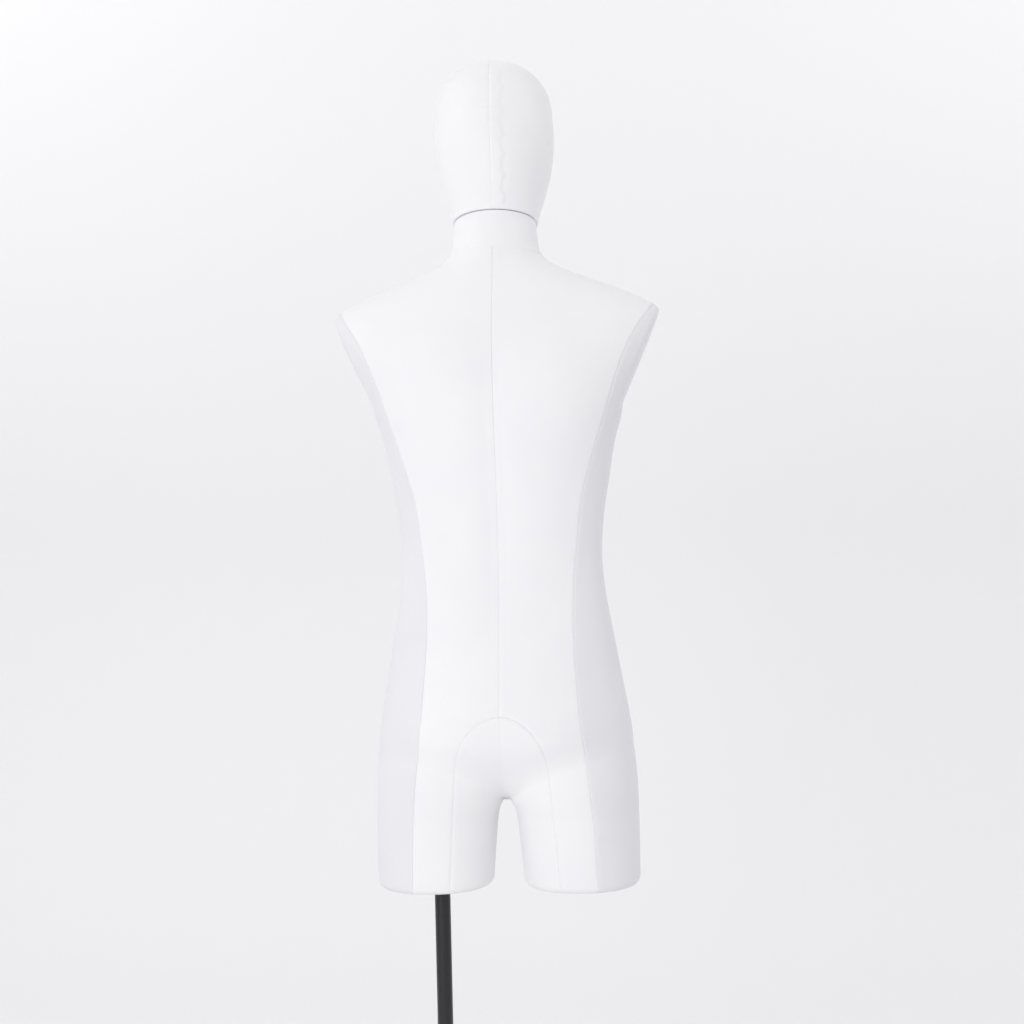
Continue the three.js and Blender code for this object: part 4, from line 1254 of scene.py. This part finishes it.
def make_thigh_plates():
    """The boards that close the thighs: the thigh's own oval, drawn in, with an eased edge."""
    low, high = box_mm("thigh_plate_left")
    angle = np.linspace(0, 2 * math.pi, 129)[:-1]
    half_gap, outer, behind, front = stations(LEG, np.array([LEG_END + 3.0]))
    inset = 9.6
    for side, hand in ((-1, "left"), (1, "right")):
        middle_x = side * (half_gap + outer) / 2
        radius = oval(angle, (outer - half_gap) / 2, behind, front, 2.2) - inset
        hole = 15.4 if side < 0 else 0.0
        centre = np.array([-BODY_X if side < 0 else middle_x[0], 0.0])
        rim = np.stack([middle_x + radius * np.cos(angle), radius * np.sin(angle)], -1)
        bore = centre + hole * np.stack([np.cos(angle), np.sin(angle)], -1)
        steps = [(1.0, low[2] + 1.0), (0.992, low[2] + 0.3), (0.98, low[2]), (0.0, low[2]),
                 (0.0, high[2]), (1.0, high[2]), (1.0, low[2] + 1.0)]
        rows = [np.concatenate([bore + (rim - bore) * share, np.full((len(angle), 1), z)], 1)
                for share, z in steps]
        points = np.stack(rows)
        outside = np.zeros_like(points)
        outside[..., 2] = np.where(points[..., 2] > (low[2] + high[2]) / 2, 1.0, -1.0)
        points[..., 0] += BODY_X
        plate = grid_mesh(f"{hand}_thigh_board", points, outside, close_columns=True)
        finish_piece(plate, "torso", hardboard, "board", f"thigh_plate_{hand}")


make_cap()
make_socket()
make_thigh_plates()
for number in (1, 2, 3, 4):
    low, high = box_mm(f"socket_screw_{number}")
    middle = (low + high) / 2
    screw_head(f"flange_screw_{number}", f"socket_screw_{number}", "torso", 4.6, 2.5, (0, 0, 1),
               (middle[0], middle[1], low[2] + 2.4), 20, 2.4)
print("thigh fittings made")

# %% Neck and head fittings
def leaning_point(across, ahead, up):
    """One point of the leaning frame, at its place in the row."""
    spot = lean(np.array(float(across)), np.array(float(ahead)), np.array(float(up)))
    return spot + np.array([BODY_X, 0, 0])


def oval_board(name, node_name, body, half_width, depth, low, high, hole, inset, middle=0.0):
    """A board cut to an oval with a round hole, level in the leaning frame."""
    angle = np.linspace(0, 2 * math.pi, 129)[:-1]
    radius = oval(angle, half_width, depth, depth, 2.08) - inset
    steps = [(1.0, low + 0.6), (0.985, low), (0.0, low), (0.0, high), (0.985, high), (1.0, high - 0.6),
             (1.0, low + 0.6)]
    rows = []
    for share, up in steps:
        size = hole + (radius - hole) * share
        across, ahead = size * np.cos(angle), size * np.sin(angle) + middle * share
        rows.append(lean(across, ahead, np.full_like(angle, up)))
    points = np.stack(rows)
    centre = lean(np.array(0.0), np.array(0.0), np.array((low + high) / 2))
    tall = np.sum((points - centre) * UP, axis=-1, keepdims=True)
    outside = np.sign(tall) * UP
    points[..., 0] += BODY_X
    board = grid_mesh(name, points, outside, close_columns=True)
    return finish_piece(board, body, hardboard, "board", node_name)


BUSH_BORE, BUSH_R, BUSH_FLANGE_R, BUSH_DEEP = 10.4, 13, 16, -52
SPIGOT_R, SPIGOT_DEEP, FLANGE_R, FLANGE_LOW, FLANGE_TOP = 10, -48, 38, 10.8, 13.3
PLATE_SCREWS_AT, PLATE_SCREW_UP, PLATE_SCREW_LONG = 31, -1.2, 18


def make_neck_fittings():
    """Neck plate, its screws, the bush, the head's base board and the spigot with its flange."""
    oval_board("neck_board", "neck_plate", "torso", 57, 60, -11, -1.5, 13.4, 11)
    oval_board("head_board", "head_base_plate", "head", 60.5, 64, 2.4, 10.4, 10.4, 8, 2.0)
    joint = leaning_point(0, 0, 0)
    bush = [[BUSH_BORE, BUSH_DEEP], [BUSH_R, BUSH_DEEP], [BUSH_R, -1.2], [BUSH_FLANGE_R, -1.2],
            [BUSH_FLANGE_R, 0.4], [BUSH_BORE, 0.4], [BUSH_BORE, BUSH_DEEP]]
    finish_piece(turn("neck_bearing", bush, 0.4, 64, joint, UP), "bush", nylon, "black_nylon", "neck_bush")
    spigot = [[0, SPIGOT_DEEP], [SPIGOT_R - 2, SPIGOT_DEEP], [SPIGOT_R, SPIGOT_DEEP + 4],
              [SPIGOT_R, FLANGE_LOW], [FLANGE_R, FLANGE_LOW], [FLANGE_R, FLANGE_TOP], [0, FLANGE_TOP]]
    finish_piece(turn("head_peg", spigot, 0.6, 64, joint, UP), "head", zinc, "zinc_steel", "head_spigot")
    for number in (1, 2, 3):
        angle = ((number - 1) / 3 + 0.25) * 2 * math.pi
        place = leaning_point(PLATE_SCREWS_AT * math.cos(angle), PLATE_SCREWS_AT * math.sin(angle),
                              PLATE_SCREW_UP)
        screw_head(f"neck_board_screw_{number}", f"neck_screw_{number}", "torso", 4.0, 2.0, -UP,
                   place, PLATE_SCREW_LONG, 1.4)


make_neck_fittings()
print("neck fittings made")

# %% [markdown]
# ## Sheets of cloth
#
# Every panel is a sheet that was cut flat and is worn stretched over the shell. Its flat size is a little
# smaller than what it covers, because jersey is cut about a twentieth small so that it grips.


print("declared", len(cover) + len(head_cover), "sheets")

# %% [markdown]
# ## The studio
#
# A pale floor that curves up into a pale wall, one large soft light on the left, a much weaker one on the
# right, two lights high up that wash the wall, and a bright even world.

# %% Floor and light
def make_floor():
    """A sweep: flat floor, a quarter circle, and an upright wall."""
    bend = 1.2
    depth = 3.2
    profile = [(-8.0, 0.0), (depth - bend, 0.0)]
    profile += [(depth - bend + bend * math.sin(t), bend - bend * math.cos(t))
                for t in np.linspace(0.1, math.pi / 2, 16)]
    profile += [(depth, 7.0)]
    line = np.array(profile)
    across = np.linspace(-9, 9, 3)
    points = np.stack([np.broadcast_to(across, (len(line), 3)),
                       np.broadcast_to(line[:, :1], (len(line), 3)),
                       np.broadcast_to(line[:, 1:], (len(line), 3))], -1) / MM
    outside = np.zeros_like(points)
    outside[..., 1], outside[..., 2] = -1, 1
    floor = grid_mesh("studio_sweep", points, outside)
    material, _, _ = new_material("studio paper", (0.86, 0.86, 0.87), 0.9)
    floor.data.materials.append(material)
    return floor


def soft_light(name, place, aim, size, power):
    """An area light that looks at a point."""
    data = bpy.data.lights.new(name, "AREA")
    data.shape = "DISK"
    data.size = size
    data.energy = power
    light = bpy.data.objects.new(name, data)
    light.location = place
    direction = np.array(aim) - np.array(place)
    yaw = math.atan2(direction[1], direction[0])
    pitch = math.atan2(math.hypot(direction[0], direction[1]), -direction[2])
    light.rotation_euler = (pitch, 0, yaw - math.pi / 2)
    bpy.context.scene.collection.objects.link(light)
    return light


make_floor()
LIGHTS = {
    # name: place, what it looks at, size, power
    "key": ((-1.4, -3.6, 2.0), (0.05, 0, 1.1), 2.4, 54),
    "fill": ((2.6, -2.6, 1.4), (0.1, 0, 1.1), 2.0, 5),
    "wall wash left": ((-2.6, 0.9, 4.2), (-0.6, 3.2, 1.5), 2.5, 43),
    "wall wash right": ((2.8, 0.9, 4.2), (0.8, 3.2, 1.5), 2.5, 43),
}
WORLD_COLOR, WORLD_STRENGTH = (0.945, 0.94, 0.965, 1), 0.615
for name, (place, aim, size, power) in LIGHTS.items():
    soft_light(name, place, aim, size, power)
world = bpy.data.worlds.new("studio")
world.use_nodes = True
sky = world.node_tree.nodes["Background"]
sky.inputs["Color"].default_value = WORLD_COLOR
sky.inputs["Strength"].default_value = WORLD_STRENGTH
bpy.context.scene.world = world
bpy.context.scene.view_settings.view_transform = "Standard"
print("studio ready")
